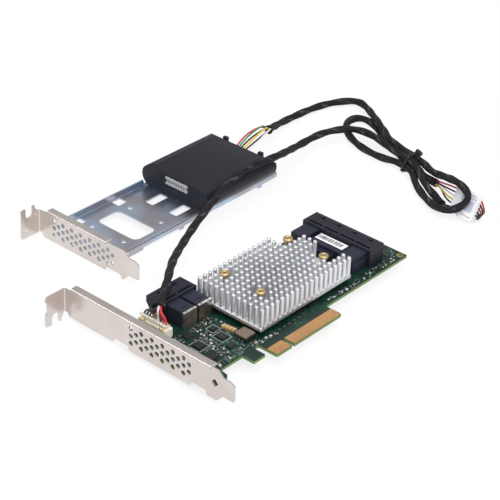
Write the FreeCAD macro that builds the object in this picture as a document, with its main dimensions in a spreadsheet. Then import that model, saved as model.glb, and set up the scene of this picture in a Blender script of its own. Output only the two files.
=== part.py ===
import FreeCAD, Part
import math
import os

# Storage controller card with its backup power module.
# Drawn in the card's own frame: +X runs from the card bracket's outer face along the board,
# +Y from the gold edge towards the bracket's screw flange, +Z up from the board, and Z = 0
# is the lower edge of the bracket's strip. Lengths are millimetres. The solids move to the
# row's frame, TO_ROW_FRAME, as they are written out.

os.makedirs("parts", exist_ok=True)
doc = FreeCAD.newDocument("controller_card")
V = FreeCAD.Vector

DIMENSIONS = {
    # printed circuit board, low-profile height and half length
    "board_start": 1.2,
    "board_height": 68.9,
    "board_thickness": 1.57,
    "board_underside": 3.4,
    "foot_level": 4.5,
    "left_edge_level": 12.2,
    "right_edge_level": 10.9,
    "near_foot_length": 14.5,
    "middle_foot_start": 32.1,
    "middle_foot_end": 41.0,
    "mounting_hole_dia": 2.8,
    "mounting_hole_inset": 2.9,
    # edge connector
    "finger_start": 44.8,
    "finger_pitch": 1.0,
    "finger_width": 0.7,
    "finger_length": 5.6,
    "finger_thickness": 0.05,
    "short_tab": 11.65,
    "key_notch": 1.9,
    "key_depth": 6.5,
    "long_tab": 38.65,
    # card bracket
    "sheet_thickness": 0.86,
    "strip_width": 18.42,
    "card_strip_length": 120.02,
    "tray_strip_length": 79.2,
    "tongue_low": 4.2,
    "tongue_high": 15.1,
    "tongue_drop": 10.8,
    "lip_depth": 4.2,
    "bend_radius": 1.6,
    "flange_reach": 13.4,
    "flange_slot_width": 4.8,
    "vent_dia": 2.8,
    "card_vent_pitch": 3.66,
    "tray_vent_pitch": 3.55,
    "vent_row_pitch": 4.5,
    "tab_reach": 9.0,
    "tab_width": 9.0,
    "screw_dia": 2.6,
    "screw_head_dia": 5.0,
    "screw_head_height": 1.4,
    # heat sink and what it cools
    "sink_start": 50.0,
    "sink_low_edge": 15.8,
    "sink_length": 74.4,
    "sink_width": 45.8,
    "sink_base_level": 8.3,
    "sink_base_thickness": 2.3,
    "sink_pin_height": 11.0,
    "sink_pin_dia": 2.2,
    "sink_pin_pitch": 3.94,
    "sink_columns": 19,
    "sink_rows": 12,
    "chip_size": 27.0,
    "chip_height": 2.2,
    "push_pin_head_dia": 5.6,
    "push_pin_head_height": 2.0,
    "push_pin_shaft_dia": 2.4,
    "push_pin_clear_radius": 4.1,
    "spring_wire": 0.4,
    # storage ports
    "port_pitch": 11.25,
    "port_top": 11.0,
    "cage_top": 9.9,
    "cage_width": 9.7,
    "cage_depth": 13.0,
    "port_depth": 12.2,
    "port_wall": 1.3,
    "top_port_start": 25.5,
    "top_port_inset": 7.0,
    "sink_to_cage_gap": 5.2,
    "end_port_inset": 26.0,
    "end_port_low_edge": 17.5,
    # power header on the board
    "header_start": 14.3,
    "header_edge_inset": 0.2,
    "header_width": 5.5,
    "header_length": 19.4,
    "header_height": 5.4,
    "plug_rise": 2.0,
    "wire_pitch": 2.0,
    "wire_dia": 1.1,
    # tray and its bracket
    "tray_x": 48.1,
    "tray_y": 101.8,
    "table_level": -2.2,
    "tray_sheet": 1.0,
    "tray_floor_top": 5.0,
    "tray_length": 144.5,
    "tray_low_edge": 25.3,
    "tray_width": 46.4,
    "tray_wall_height": 3.4,
    # backup module
    "module_start": 78.0,
    "module_length": 61.0,
    "module_far_slope": 5.5,
    "module_near_slope": 2.4,
    "module_low_edge": 21.2,
    "module_width": 52.6,
    "module_height": 13.7,
    "module_wall": 1.2,
    "cell_dia": 10.5,
    "cell_length": 34.0,
    # cables
    "cable_dia": 4.6,
    "tie_width": 3.6,
    "tie_thickness": 1.1,
}


class Sheet:
    """The driving sizes: each one a spreadsheet cell, and an attribute here."""


D = Sheet()
table = doc.addObject("Spreadsheet::Sheet", "Dims")
for row, (alias, value) in enumerate(DIMENSIONS.items(), start=1):
    table.set("A%d" % row, alias)
    table.set("B%d" % row, str(value))
    table.setAlias("B%d" % row, alias)
    setattr(D, alias, float(value))
doc.recompute()

FINISHED = []


# ---------------------------------------------------------------- drawing helpers

def bind(obj, name, words):
    """Bind one property to the sheet: every word in the expression is a cell's alias."""
    parts = words.split(" ")
    bound = ["Dims." + word if word in DIMENSIONS else word for word in parts]
    obj.setExpression(name, " ".join(bound))


def finish(obj, label):
    """Name a finished sub-part; its label becomes its file's name."""
    obj.Label = label
    FINISHED.append(obj)
    return obj


def new_body(label):
    body = doc.addObject("PartDesign::Body", label)
    return finish(body, label)


def origin_plane(body, role):
    return [item for item in body.Origin.OriginFeatures if item.Role == role][0]


def new_sketch(body, name, role, offset=0.0):
    """A sketch on one of the body's own origin planes, moved along the plane's normal."""
    sketch = body.newObject("Sketcher::SketchObject", name)
    sketch.AttachmentSupport = (origin_plane(body, role), [""])
    sketch.MapMode = "FlatFace"
    sketch.AttachmentOffset = FreeCAD.Placement(V(0, 0, offset), FreeCAD.Rotation())
    return sketch


def rounded(points):
    """Lines and arcs of a closed outline; a point's third number rounds its corner."""
    count = len(points)
    entries = []
    for index, point in enumerate(points):
        here = V(point[0], point[1], 0)
        radius = point[2] if len(point) > 2 else 0.0
        if radius <= 0:
            entries.append((here, None, here))
            continue
        before = points[index - 1]
        after = points[(index + 1) % count]
        back = (V(before[0], before[1], 0) - here).normalize()
        ahead = (V(after[0], after[1], 0) - here).normalize()
        half = back.getAngle(ahead) / 2
        reach = radius / math.tan(half)
        middle = (back + ahead).normalize()
        centre = here + middle * (radius / math.sin(half))
        entries.append((here + back * reach, centre - middle * radius, here + ahead * reach))
    pieces = []
    for index, (start, middle, end) in enumerate(entries):
        if middle is not None:
            pieces.append(Part.Arc(start, middle, end))
        following = entries[(index + 1) % count][0]
        if end.distanceToPoint(following) > 1e-6:
            pieces.append(Part.LineSegment(end, following))
    return pieces


def draw_loop(sketch, points):
    sketch.addGeometry(rounded(points), False)


def draw_rectangle(sketch, left, low, right, high, radius=0.0):
    draw_loop(sketch, [(left, low, radius), (right, low, radius),
                       (right, high, radius), (left, high, radius)])


def draw_circle(sketch, centre_x, centre_y, radius):
    sketch.addGeometry(Part.Circle(V(centre_x, centre_y, 0), V(0, 0, 1), radius), False)


def pad(body, sketch, name, words, reverse=False):
    feature = body.newObject("PartDesign::Pad", name)
    feature.Profile = sketch
    feature.Reversed = reverse
    bind(feature, "Length", words)
    sketch.Visibility = False
    body.Tip = feature
    return feature


def pocket(body, sketch, name, words, reverse=False):
    feature = body.newObject("PartDesign::Pocket", name)
    feature.Profile = sketch
    feature.Reversed = reverse
    bind(feature, "Length", words)
    sketch.Visibility = False
    body.Tip = feature
    return feature


def block(name, corner, size):
    """A box whose corner and sizes are expressions of the sheet."""
    box = doc.addObject("Part::Box", name)
    for axis, words in zip("xyz", corner):
        bind(box, "Placement.Base." + axis, words)
    for side, words in zip(("Length", "Width", "Height"), size):
        bind(box, side, words)
    return box


def fuse(name, objects):
    union = doc.addObject("Part::MultiFuse", name)
    union.Shapes = objects
    return union


def cut(name, base, tool):
    remainder = doc.addObject("Part::Cut", name)
    remainder.Base = base
    remainder.Tool = tool
    return remainder


def group(label, shapes):
    """Separate solids that share one node."""
    holder = doc.addObject("Part::Feature", label)
    holder.Shape = Part.makeCompound(shapes)
    return finish(holder, label)


def solid_box(x, y, z, length, width, height):
    return Part.makeBox(length, width, height, V(x, y, z))


# ---------------------------------------------------------------- shared levels

board_top = D.board_underside + D.board_thickness
sink_base_top = D.sink_base_level + D.sink_base_thickness
sink_pin_top = sink_base_top + D.sink_pin_height
tab_end = D.finger_start + D.short_tab + D.key_notch + D.long_tab
sink_end = D.sink_start + D.sink_length
sink_high_edge = D.sink_low_edge + D.sink_width
end_port_rear = sink_end + D.sink_to_cage_gap + D.cage_depth
board_end = end_port_rear + D.end_port_inset
top_port_rear = D.board_height - D.top_port_inset
header_low_edge = D.board_height - D.header_edge_inset - D.header_length
tray_floor = D.table_level + D.tray_floor_top
module_bottom = tray_floor
module_top = module_bottom + D.module_height

# places of the push pins, from the sink's corners: along X, then along Y
PUSH_PINS = [
    (D.sink_start + 14.0, D.sink_low_edge + 13.0), (D.sink_start + 14.0, sink_high_edge - 7.6),
    (sink_end - 10.1, D.sink_low_edge + 12.0), (sink_end - 10.1, sink_high_edge - 8.6),
]
# the two tabs that the board is screwed to: their lower ends along Y
TAB_STARTS = (8.6, D.board_height - 6.4)


def tab_screw_places():
    along = D.sheet_thickness + D.tab_reach * 0.55
    highest = D.board_height - 3.6
    return [(along, min(start + D.tab_width / 2, highest)) for start in TAB_STARTS]


# ---------------------------------------------------------------- the board

def make_board():
    body = new_body("printed_circuit_board")
    outline = new_sketch(body, "board_outline", "XY_Plane", D.board_underside)
    notch_start = D.finger_start + D.short_tab
    notch_end = notch_start + D.key_notch
    notch_round = D.key_notch / 2 - 0.01
    slot_round = 1.4
    corner = 0.8
    draw_loop(outline, [
        (D.board_start, D.foot_level, 0.5),
        (D.near_foot_length - 3.0, D.foot_level, 1.0),
        (D.near_foot_length, D.foot_level + 2.2, 1.0),
        (D.near_foot_length + 0.8, D.left_edge_level, 1.0),
        (D.middle_foot_start, D.left_edge_level, 0.6),
        (D.middle_foot_start, D.foot_level, 0.6),
        (D.middle_foot_end, D.foot_level, 0.6),
        (D.middle_foot_end, D.left_edge_level + 0.4, slot_round),
        (D.finger_start, D.left_edge_level + 0.4, slot_round),
        (D.finger_start, corner),
        (D.finger_start + corner, 0.0),
        (notch_start, 0.0),
        (notch_start, D.key_depth, notch_round),
        (notch_end, D.key_depth, notch_round),
        (notch_end, 0.0),
        (tab_end - corner, 0.0),
        (tab_end, corner),
        (tab_end, D.right_edge_level, 0.8),
        (board_end, D.right_edge_level, 0.6),
        (board_end, D.board_height, 0.6),
        (D.board_start, D.board_height, 0.6),
    ])
    hole_x = board_end - D.mounting_hole_inset
    hole_y = D.right_edge_level + D.mounting_hole_inset
    draw_circle(outline, hole_x, hole_y, D.mounting_hole_dia / 2)
    for x, y in tab_screw_places():
        draw_circle(outline, x, y, D.screw_dia / 2 + 0.2)
    for x, y in PUSH_PINS:
        draw_circle(outline, x, y, D.push_pin_shaft_dia / 2 + 0.3)
    for place in header_wire_places():
        draw_rectangle(outline, place.x - 0.3, place.y - 0.3, place.x + 0.3, place.y + 0.3)
    pad(body, outline, "board_pad", "board_thickness")


def make_edge_contacts():
    """Gold fingers on both faces, in the short and the long row either side of the key."""
    fingers = []
    rows = ((D.finger_start, D.short_tab),
            (D.finger_start + D.short_tab + D.key_notch, D.long_tab))
    clear_of_edge = 0.45
    for start, length in rows:
        count = int(length // D.finger_pitch)
        margin = (length - (count - 1) * D.finger_pitch) / 2
        for index in range(count):
            x = start + margin + index * D.finger_pitch - D.finger_width / 2
            for level in (board_top, D.board_underside - D.finger_thickness):
                fingers.append(solid_box(x, clear_of_edge, level, D.finger_width,
                                         D.finger_length - clear_of_edge, D.finger_thickness))
    group("edge_contacts", fingers)


# ---------------------------------------------------------------- slot brackets

def lip_profile(outer, depth, thickness):
    """Section of the stiffening lip: a quarter bend from the strip, then flat, in X and Z."""
    inner = outer - thickness
    top = D.strip_width
    diagonal = math.sqrt(0.5)
    centre_x, centre_z = outer, top - outer
    lines = [
        Part.Arc(V(0, centre_z, 0),
                 V(centre_x - outer * diagonal, centre_z + outer * diagonal, 0),
                 V(centre_x, top, 0)),
        Part.LineSegment(V(centre_x, top, 0), V(depth, top, 0)),
        Part.LineSegment(V(depth, top, 0), V(depth, top - thickness, 0)),
        Part.LineSegment(V(depth, top - thickness, 0), V(centre_x, top - thickness, 0)),
        Part.Arc(V(centre_x, top - thickness, 0),
                 V(centre_x - inner * diagonal, centre_z + inner * diagonal, 0),
                 V(thickness, centre_z, 0)),
        Part.LineSegment(V(thickness, centre_z, 0), V(0, centre_z, 0)),
    ]
    return lines


def vent_places(first, columns, pitch, middle_level):
    """Staggered rows of round vents: columns of three and of two in turn."""
    places = []
    for column in range(columns):
        y = first - column * pitch
        rows = 3 if column % 2 == 0 else 2
        for row in range(rows):
            z = middle_level + (row - (rows - 1) / 2) * D.vent_row_pitch
            places.append((y, z))
    return places


def make_slot_bracket(label, tip, length, recess, lip, vents, slot, slot_up, holes):
    """A slot bracket: strip with tongue, bent lip and a slotted screw flange.

    tip is the tongue's end along Y; recess lists the low edge's raised stretches; lip holds
    its two ends along Y; slot is the flange slot's nearer side; holes pierce the flange.
    """
    body = new_body(label)
    flange_face = tip + length
    top = D.strip_width
    bend_top = top - D.bend_radius
    shoulder = tip + D.tongue_drop
    neck = flange_face - 4.4
    low = 2.4
    high = bend_top - 0.5
    lip_start, lip_end = lip
    strip = new_sketch(body, label + "_strip", "YZ_Plane")
    outline = [
        (tip, D.tongue_low + 0.3, 0.8),
        (tip + 1.0, D.tongue_low, 0.6),
        (shoulder - 3.6, D.tongue_low, 0.5),
        (shoulder + 0.6, 0.0, 0.5),
    ]
    for start, end, level in recess:
        outline += [(start, 0.0, 0.3), (start + 0.8, level, 0.3), (end - 0.8, level, 0.3),
                    (end, 0.0, 0.3)]
    outline += [
        (neck, 0.0, 0.5),
        (neck + 1.6, low, 0.4),
        (flange_face - D.bend_radius, low),
        (flange_face - D.bend_radius, high),
        (neck + 0.6, high, 0.4),
        (neck - 0.4, bend_top, 0.3),
        (lip_start, bend_top),
        (lip_start, top, 0.4),
        (shoulder, top, 0.5),
        (shoulder - 3.6, D.tongue_high, 0.8),
        (tip + 2.6, D.tongue_high, 0.8),
        (tip, D.tongue_high - 1.6, 0.6),
    ]
    draw_loop(strip, outline)
    for y, z in vents:
        draw_circle(strip, y, z, D.vent_dia / 2)
    if not slot_up:
        y, z, half = 2.1, 9.8, 2.4
        draw_loop(strip, [(y - half, z), (y, z - half), (y + half, z), (y, z + half)])
    pad(body, strip, label + "_strip_pad", "sheet_thickness")

    fold = new_sketch(body, label + "_lip", "XZ_Plane", -lip_end)
    fold.addGeometry(lip_profile(D.bend_radius, D.lip_depth, D.sheet_thickness), False)
    lip_pad = body.newObject("PartDesign::Pad", label + "_lip_pad")
    lip_pad.Profile = fold
    lip_pad.Length = lip_end - lip_start - 0.4
    fold.Visibility = False
    body.Tip = lip_pad

    # the flange's bend and plate, drawn in X and Y and raised between its two levels
    outer = D.bend_radius
    inner = outer - D.sheet_thickness
    diagonal = math.sqrt(0.5)
    bend = new_sketch(body, label + "_bend", "XY_Plane", low)
    centre = V(D.sheet_thickness - outer, flange_face - outer, 0)
    bend.addGeometry([
        Part.Arc(centre + V(outer, 0, 0), centre + V(outer * diagonal, outer * diagonal, 0),
                 centre + V(0, outer, 0)),
        Part.LineSegment(centre + V(0, outer, 0), centre + V(0, inner, 0)),
        Part.Arc(centre + V(0, inner, 0), centre + V(inner * diagonal, inner * diagonal, 0),
                 centre + V(inner, 0, 0)),
        Part.LineSegment(centre + V(inner, 0, 0), centre + V(outer, 0, 0)),
    ], False)
    bend_pad = body.newObject("PartDesign::Pad", label + "_bend_pad")
    bend_pad.Profile = bend
    bend_pad.Length = high - low
    bend.Visibility = False
    body.Tip = bend_pad

    # the flange's outline in X and Z; its slot opens to the low or to the high side
    flange = new_sketch(body, label + "_flange", "XZ_Plane", -flange_face)
    near = centre.x
    far = -D.flange_reach
    slot_far = slot - D.flange_slot_width
    prong = D.table_level
    root = 4.2
    round_end = D.flange_slot_width / 2 - 0.05
    points = [(near, low), (slot + 2.2, prong + 1.6, 0.6), (slot + 1.9, prong, 0.6),
              (slot, prong, 0.4), (slot, root, round_end), (slot_far, root, round_end),
              (slot_far, prong, 0.4), (far, prong + 0.4, 1.0)]
    if not slot_up:
        points += [(far, 6.0, 0.4), (far + 1.1, 6.8, 0.4), (far + 1.1, 12.6, 0.4),
                   (far, 13.4, 0.4)]
    points += [(far, high, 1.2), (near, high)]
    if slot_up:
        points = [(point[0], top - point[1], *point[2:]) for point in points]
        points.reverse()
    draw_loop(flange, points)
    for x, z, radius in holes:
        draw_circle(flange, x, z, radius)
    pad(body, flange, label + "_flange_pad", "sheet_thickness")
    return body


def make_card_bracket():
    tab_recess = [(start - 1.2, start + D.tab_width + 1.2, D.board_underside)
                  for start in TAB_STARTS]
    vents = vent_places(59.8, 12, D.card_vent_pitch, 9.7)
    body = make_slot_bracket("card_bracket", -D.tongue_drop, D.card_strip_length, tab_recess,
                             (4.4, D.card_strip_length - D.tongue_drop - 5.62), vents, -4.4, False, [])
    tabs = new_sketch(body, "bracket_tabs", "XY_Plane", D.board_underside)
    for start in TAB_STARTS:
        end = start + D.tab_width
        reach = D.sheet_thickness + D.tab_reach
        draw_loop(tabs, [(0.0, start), (reach, start, 1.5), (reach, end, 1.5), (0.0, end)])
    for x, y in tab_screw_places():
        draw_circle(tabs, x, y, D.screw_dia / 2)
    pad(body, tabs, "bracket_tab_pad", "sheet_thickness", reverse=True)


def make_bracket_screws():
    screws = []
    for x, y in tab_screw_places():
        head = Part.makeCylinder(D.screw_head_dia / 2, D.screw_head_height, V(x, y, board_top))
        length = D.board_thickness + D.sheet_thickness + 0.6
        shank = Part.makeCylinder(D.screw_dia / 2 - 0.05, length, V(x, y, board_top - length))
        drive_depth = 0.8
        drive = solid_box(x - 1.3, y - 0.25, board_top + D.screw_head_height - drive_depth,
                          2.6, 0.5, drive_depth)
        cross = solid_box(x - 0.25, y - 1.3, board_top + D.screw_head_height - drive_depth,
                          0.5, 2.6, drive_depth)
        screws.append(head.fuse(shank).cut(drive).cut(cross))
    group("bracket_screws", screws)


# ---------------------------------------------------------------- heat sink

def sink_pin_places():
    """Centres of the sink's pins, without those that the push pins need room for."""
    margin_x = (D.sink_length - (D.sink_columns - 1) * D.sink_pin_pitch) / 2
    margin_y = (D.sink_width - (D.sink_rows - 1) * D.sink_pin_pitch) / 2
    places = []
    for column in range(int(D.sink_columns)):
        for line in range(int(D.sink_rows)):
            x = D.sink_start + margin_x + column * D.sink_pin_pitch
            y = D.sink_low_edge + margin_y + line * D.sink_pin_pitch
            near_push_pin = any(math.hypot(x - px, y - py) < D.push_pin_clear_radius
                                for px, py in PUSH_PINS)
            beside_label = x > sink_end - 11.4 and 8.7 < y - D.sink_low_edge < 21.2
            far_corner = x > sink_end - 14.0 and y > sink_high_edge - 12.0
            if not (near_push_pin or beside_label or far_corner):
                places.append((x, y))
    return places


def make_heatsink():
    body = new_body("heatsink")
    base = new_sketch(body, "sink_base", "XY_Plane", D.sink_base_level)
    draw_rectangle(base, D.sink_start, D.sink_low_edge, D.sink_start + D.sink_length,
                   D.sink_low_edge + D.sink_width, 0.4)
    for x, y in PUSH_PINS:
        draw_circle(base, x, y, D.push_pin_shaft_dia / 2 + 0.3)
    pad(body, base, "sink_base_pad", "sink_base_thickness")
    pins = new_sketch(body, "sink_pins", "XY_Plane", sink_base_top)
    radius = D.sink_pin_dia / 2
    for x, y in sink_pin_places():
        corners = []
        for corner in range(8):
            angle = math.radians(22.5 + 45 * corner)
            corners.append((x + radius * math.cos(angle), y + radius * math.sin(angle)))
        draw_loop(pins, corners)
    pad(body, pins, "sink_pin_pad", "sink_pin_height")


def make_controller_chip():
    centre_x = D.sink_start + D.sink_length / 2
    centre_y = D.sink_low_edge + D.sink_width / 2
    body = new_body("controller_chip")
    half = D.chip_size / 2
    base = new_sketch(body, "chip_base", "XY_Plane", board_top)
    draw_rectangle(base, centre_x - half, centre_y - half, centre_x + half, centre_y + half, 0.5)
    base_pad = body.newObject("PartDesign::Pad", "chip_base_pad")
    base_pad.Profile = base
    base_pad.Length = 1.0
    base.Visibility = False
    lid = new_sketch(body, "chip_lid", "XY_Plane", board_top)
    draw_rectangle(lid, centre_x - half + 2.5, centre_y - half + 2.5,
                   centre_x + half - 2.5, centre_y + half - 2.5, 1.5)
    pad(body, lid, "chip_lid_pad", "chip_height")
    thermal = new_body("thermal_pad")
    patch = new_sketch(thermal, "pad_outline", "XY_Plane", board_top + D.chip_height)
    draw_rectangle(patch, centre_x - half + 3, centre_y - half + 3,
                   centre_x + half - 3, centre_y + half - 3)
    pad(thermal, patch, "thermal_pad_pad",
        "sink_base_level - board_underside - board_thickness - chip_height")


def make_memory_chips():
    """Five memory chips in a column under the sink, on the side of the far port."""
    chips = []
    for index in range(5):
        y = D.sink_low_edge + 2.0 + index * 8.6
        if index in (1, 4):
            continue
        chips.append(solid_box(sink_end - 22.4, y, board_top, 9.0, 7.5, 1.2))
    for index in range(2):
        chips.append(solid_box(D.sink_start + 28.0 + index * 12.0, D.sink_low_edge + 0.6, board_top,
                               9.0, 7.5, 1.2))
    group("memory_chips", chips)


def make_push_pins():
    pins = []
    head_level = sink_pin_top - 1.6
    for x, y in PUSH_PINS:
        radius = D.push_pin_head_dia / 2
        shaft = D.push_pin_shaft_dia / 2
        top = head_level + D.push_pin_head_height
        tip_level = D.board_underside - 2.2
        profile = Part.Wire(Part.makePolygon([
            V(0, 0, tip_level), V(0.7, 0, tip_level),
            V(shaft + 0.22, 0, D.board_underside - 0.6), V(shaft, 0, D.board_underside - 0.2),
            V(shaft, 0, head_level), V(radius, 0, head_level),
            V(radius, 0, top - 0.7), V(radius - 0.8, 0, top), V(0, 0, top), V(0, 0, tip_level)]))
        turned = Part.Face(profile).revolve(V(0, 0, 0), V(0, 0, 1), 360)
        turned.translate(V(x, y, 0))
        pins.append(turned)
    group("push_pins", pins)


def make_push_pin_springs():
    """Each spring is a short sleeve with its wire's ridges, seated on the sink's base."""
    springs = []
    head_level = sink_pin_top - 1.6
    inner = D.push_pin_shaft_dia / 2 + 0.12
    outer = inner + D.spring_wire
    ridge = outer + D.spring_wire * 0.6
    turns = 6
    height = head_level - sink_base_top
    for x, y in PUSH_PINS:
        points = [V(inner, 0, sink_base_top)]
        for turn in range(turns):
            low = sink_base_top + height * turn / turns
            points.append(V(outer, 0, low))
            points.append(V(ridge, 0, low + height / turns * 0.5))
        points.append(V(outer, 0, head_level))
        points.append(V(inner, 0, head_level))
        points.append(points[0])
        coil = Part.Face(Part.makePolygon(points)).revolve(V(0, 0, 0), V(0, 0, 1), 360)
        coil.translate(V(x, y, 0))
        springs.append(coil)
    group("push_pin_springs", springs)


# ---------------------------------------------------------------- storage ports

def port_shapes(count, deck):
    """One row of ports in its own frame, opening towards +Y, with X across the ports.

    Returns the housing, the cages and the contact tongues. deck is the level of the board.
    """
    wall = D.port_wall
    width = (count - 1) * D.port_pitch + D.cage_width + 2 * (wall + 1.1)
    first = (width - (count - 1) * D.port_pitch) / 2
    housing = solid_box(0, 0, deck, width, D.port_depth, D.port_top)
    opening_width = D.cage_width - 0.8
    opening_low = 1.6
    opening_high = D.port_top - 1.7
    tongues = []
    for port in range(count):
        middle = first + port * D.port_pitch
        mouth = solid_box(middle - opening_width / 2, 1.4, deck + opening_low,
                          opening_width, D.port_depth, opening_high - opening_low)
        housing = housing.cut(mouth)
        # slot in the deck above each port and its latch window near the mouth
        slot = solid_box(middle - 5.0, 1.5, deck + D.port_top - 0.7, 10.0, 1.9, 1.0)
        window = solid_box(middle - 1.4, D.port_depth - 3.6, deck + D.port_top - 1.8,
                           2.8, 1.4, 2.0)
        housing = housing.cut(slot).cut(window)
        for level in (3.3, 6.4):
            tongues.append(solid_box(middle - 3.6, 1.4, deck + level, 7.2,
                                     D.port_depth - 3.4, 0.9))
    return housing, tongues, first, width


def make_top_ports():
    housing, tongues, first, width = port_shapes(2, board_top)
    overhang = top_port_rear + D.port_depth - D.board_height
    lowered = V(D.top_port_start, top_port_rear, 0)
    shell = housing
    shell.translate(lowered)
    # an apron under the overhanging mouth
    shell = shell.fuse(solid_box(D.top_port_start, D.board_height + 0.2, D.board_underside,
                                 width, overhang - 0.2, D.board_thickness))
    holder = doc.addObject("Part::Feature", "top_port_housing")
    holder.Shape = shell.removeSplitter()
    finish(holder, "top_port_housing")
    for tongue in tongues:
        tongue.translate(lowered)
    group("top_port_contacts", tongues)
    cages = []
    for port in range(2):
        middle = D.top_port_start + first + port * D.port_pitch
        cages.append(cage_shape(middle))
    group("top_port_cages", cages)


def cage_shape(middle):
    """One cage: a steel-faced block with a slotted lid and two dimples in its top strip."""
    rear = top_port_rear - D.cage_depth
    left = middle - D.cage_width / 2
    top = board_top + D.cage_top
    cage = solid_box(left, rear, board_top, D.cage_width, D.cage_depth, D.cage_top)
    lid_step = solid_box(left, rear + 1.5, top - 0.25, D.cage_width, D.cage_depth, 0.3)
    cage = cage.cut(lid_step)
    slot = solid_box(middle - 2.6, rear + 4.6, top - 0.6, 5.2, 1.0, 0.6)
    cage = cage.cut(slot)
    for side in (-1, 1):
        dimple = Part.makeCylinder(0.4, 0.5, V(middle + side * 2.6, rear + 0.75, top - 0.5))
        cage = cage.cut(dimple)
    return cage


def make_end_ports():
    housing, tongues, first, width = port_shapes(4, board_top)
    turn = FreeCAD.Placement(V(end_port_rear, D.end_port_low_edge + width, 0),
                             FreeCAD.Rotation(V(0, 0, 1), -90))
    holder = doc.addObject("Part::Feature", "end_port_housing")
    holder.Shape = housing.removeSplitter()
    holder.Placement = turn
    finish(holder, "end_port_housing")
    for tongue in tongues:
        tongue.Placement = turn.multiply(tongue.Placement)
    group("end_port_contacts", tongues)
    rear = end_port_rear - D.cage_depth
    cages = []
    for port in (0, 3):
        middle = D.end_port_low_edge + first + port * D.port_pitch
        low = middle - D.cage_width / 2
        cage = solid_box(rear, low, board_top, D.cage_depth, D.cage_width, D.cage_top)
        groove = solid_box(rear + 2.2, low - 0.1, board_top + D.cage_top - 3.2,
                           D.cage_depth, 0.4, 0.3)
        cages.append(cage.cut(groove))
    # the two middle ports share one lower block, which carries the label
    low = D.end_port_low_edge + first + D.port_pitch - D.cage_width / 2
    across = D.port_pitch + D.cage_width
    shared = solid_box(rear + 2.5, low, board_top, D.cage_depth - 2.5, across,
                       D.cage_top - 1.3)
    step = solid_box(rear - 0.4, low + 3.5, board_top, 2.9, across - 7.0, D.cage_top - 3.4)
    cages.append(shared.fuse(step).removeSplitter())
    group("end_port_cages", cages)
    body = new_body("part_label")
    label = new_sketch(body, "label_outline", "XY_Plane", board_top + D.cage_top - 1.3)
    middle = low + across / 2
    draw_rectangle(label, rear + 6.2, middle - 9.6, rear + 12.0, middle + 9.6, 0.3)
    label_pad = body.newObject("PartDesign::Pad", "label_pad")
    label_pad.Profile = label
    label_pad.Length = 0.12
    label.Visibility = False


# ---------------------------------------------------------------- power header and its plug

def header_wire_places():
    """Where the nine wires leave the plug: X, Y and Z of each."""
    middle = D.header_start + D.header_width / 2
    first = header_low_edge + D.header_length / 2 - 4 * D.wire_pitch
    top = board_top + D.header_height + D.plug_rise
    return [V(middle, first + index * D.wire_pitch, top) for index in range(9)]


HEADER_LOW = "board_height - header_edge_inset - header_length"


def make_power_header():
    shell = block("header_shell",
                  ("header_start", HEADER_LOW, "board_underside + board_thickness"),
                  ("header_width", "header_length", "header_height"))
    hollow = block("header_hollow",
                   ("header_start + 0.8", HEADER_LOW + " + 0.8",
                    "board_underside + board_thickness + 1.2"),
                   ("header_width - 1.6", "header_length - 1.6", "header_height"))
    windows = []
    for index, shift in enumerate(("+ 2.2", "+ header_length - 5.2")):
        windows.append(block("header_window_%d" % index,
                             ("header_start - 0.2", HEADER_LOW + " " + shift,
                              "board_underside + board_thickness + 2.6"),
                             ("1.4", "3.0", "header_height")))
    holes = []
    for index in range(9):
        shift = "%+.1f" % ((index - 4) * D.wire_pitch - 0.3)
        where = HEADER_LOW + " + header_length / 2 %s %s" % (shift[0], shift[1:])
        holes.append(block("header_pin_hole_%d" % index,
                           ("header_start + header_width / 2 - 0.3", where,
                            "board_underside + board_thickness - 0.2"),
                           ("0.6", "0.6", "2.0")))
    tools = fuse("header_tools", [hollow] + windows + holes)
    finish(cut("header_cut", shell, tools), "power_header")
    pins = []
    for place in header_wire_places():
        low = D.board_underside - 1.4
        pins.append(solid_box(place.x - 0.25, place.y - 0.25, low, 0.5, 0.5,
                              board_top + 3.6 - low))
    group("header_pins", pins)


def make_header_plug():
    """The plug stands in the header: a comb of ribs on its top keeps the wires apart."""
    clearance = 0.15
    low = board_top + 1.3
    x = D.header_start + 0.8 + clearance
    y = header_low_edge + 0.8 + clearance
    length = D.header_width - 1.6 - 2 * clearance
    width = D.header_length - 1.6 - 2 * clearance
    top = board_top + D.header_height + D.plug_rise
    plug = solid_box(x, y, low, length, width, top - low)
    for place in header_wire_places():
        notch = solid_box(place.x - D.wire_dia / 2 - 0.1, place.y - D.wire_dia / 2 - 0.1,
                          top - 1.6, length, D.wire_dia + 0.2, 2.0)
        pin_hole = solid_box(place.x - 0.3, place.y - 0.3, low - 0.5, 0.6, 0.6, 3.4)
        plug = plug.cut(notch).cut(pin_hole)
    holder = doc.addObject("Part::Feature", "header_plug")
    holder.Shape = plug
    finish(holder, "header_plug")


# ---------------------------------------------------------------- small parts on the board

cage_rear = top_port_rear - D.cage_depth
CHIPS = [
    # X, Y, length, width, height of each package between the ports and the bracket
    (18.0, cage_rear - 21.9, 9.6, 7.6, 1.3),
    (31.0, cage_rear - 26.9, 7.4, 9.8, 1.2),
    (20.5, cage_rear - 9.4, 6.0, 5.0, 1.0),
    (31.0, cage_rear - 11.5, 5.0, 6.2, 1.1),
    (sink_end + 0.8, 58.6, 3.6, 5.0, 1.0),
    (board_end - 10.4, 44.0, 5.2, 5.2, 0.9),
]

PASSIVES = [
    # X, Y, turned, of single chip resistors and capacitors standing free on the board
    (39.8, 32.4, 1), (39.8, 35.6, 1),
    (46.6, 13.9, 0), (50.6, 13.9, 0), (54.6, 13.9, 0), (58.6, 13.9, 0), (62.6, 13.9, 0),
    (66.6, 13.9, 0), (70.6, 13.9, 0), (74.6, 13.9, 0), (78.6, 13.9, 0), (82.6, 13.9, 0),
    (104.0, 13.6, 0), (112.0, 13.6, 0),
]
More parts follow.
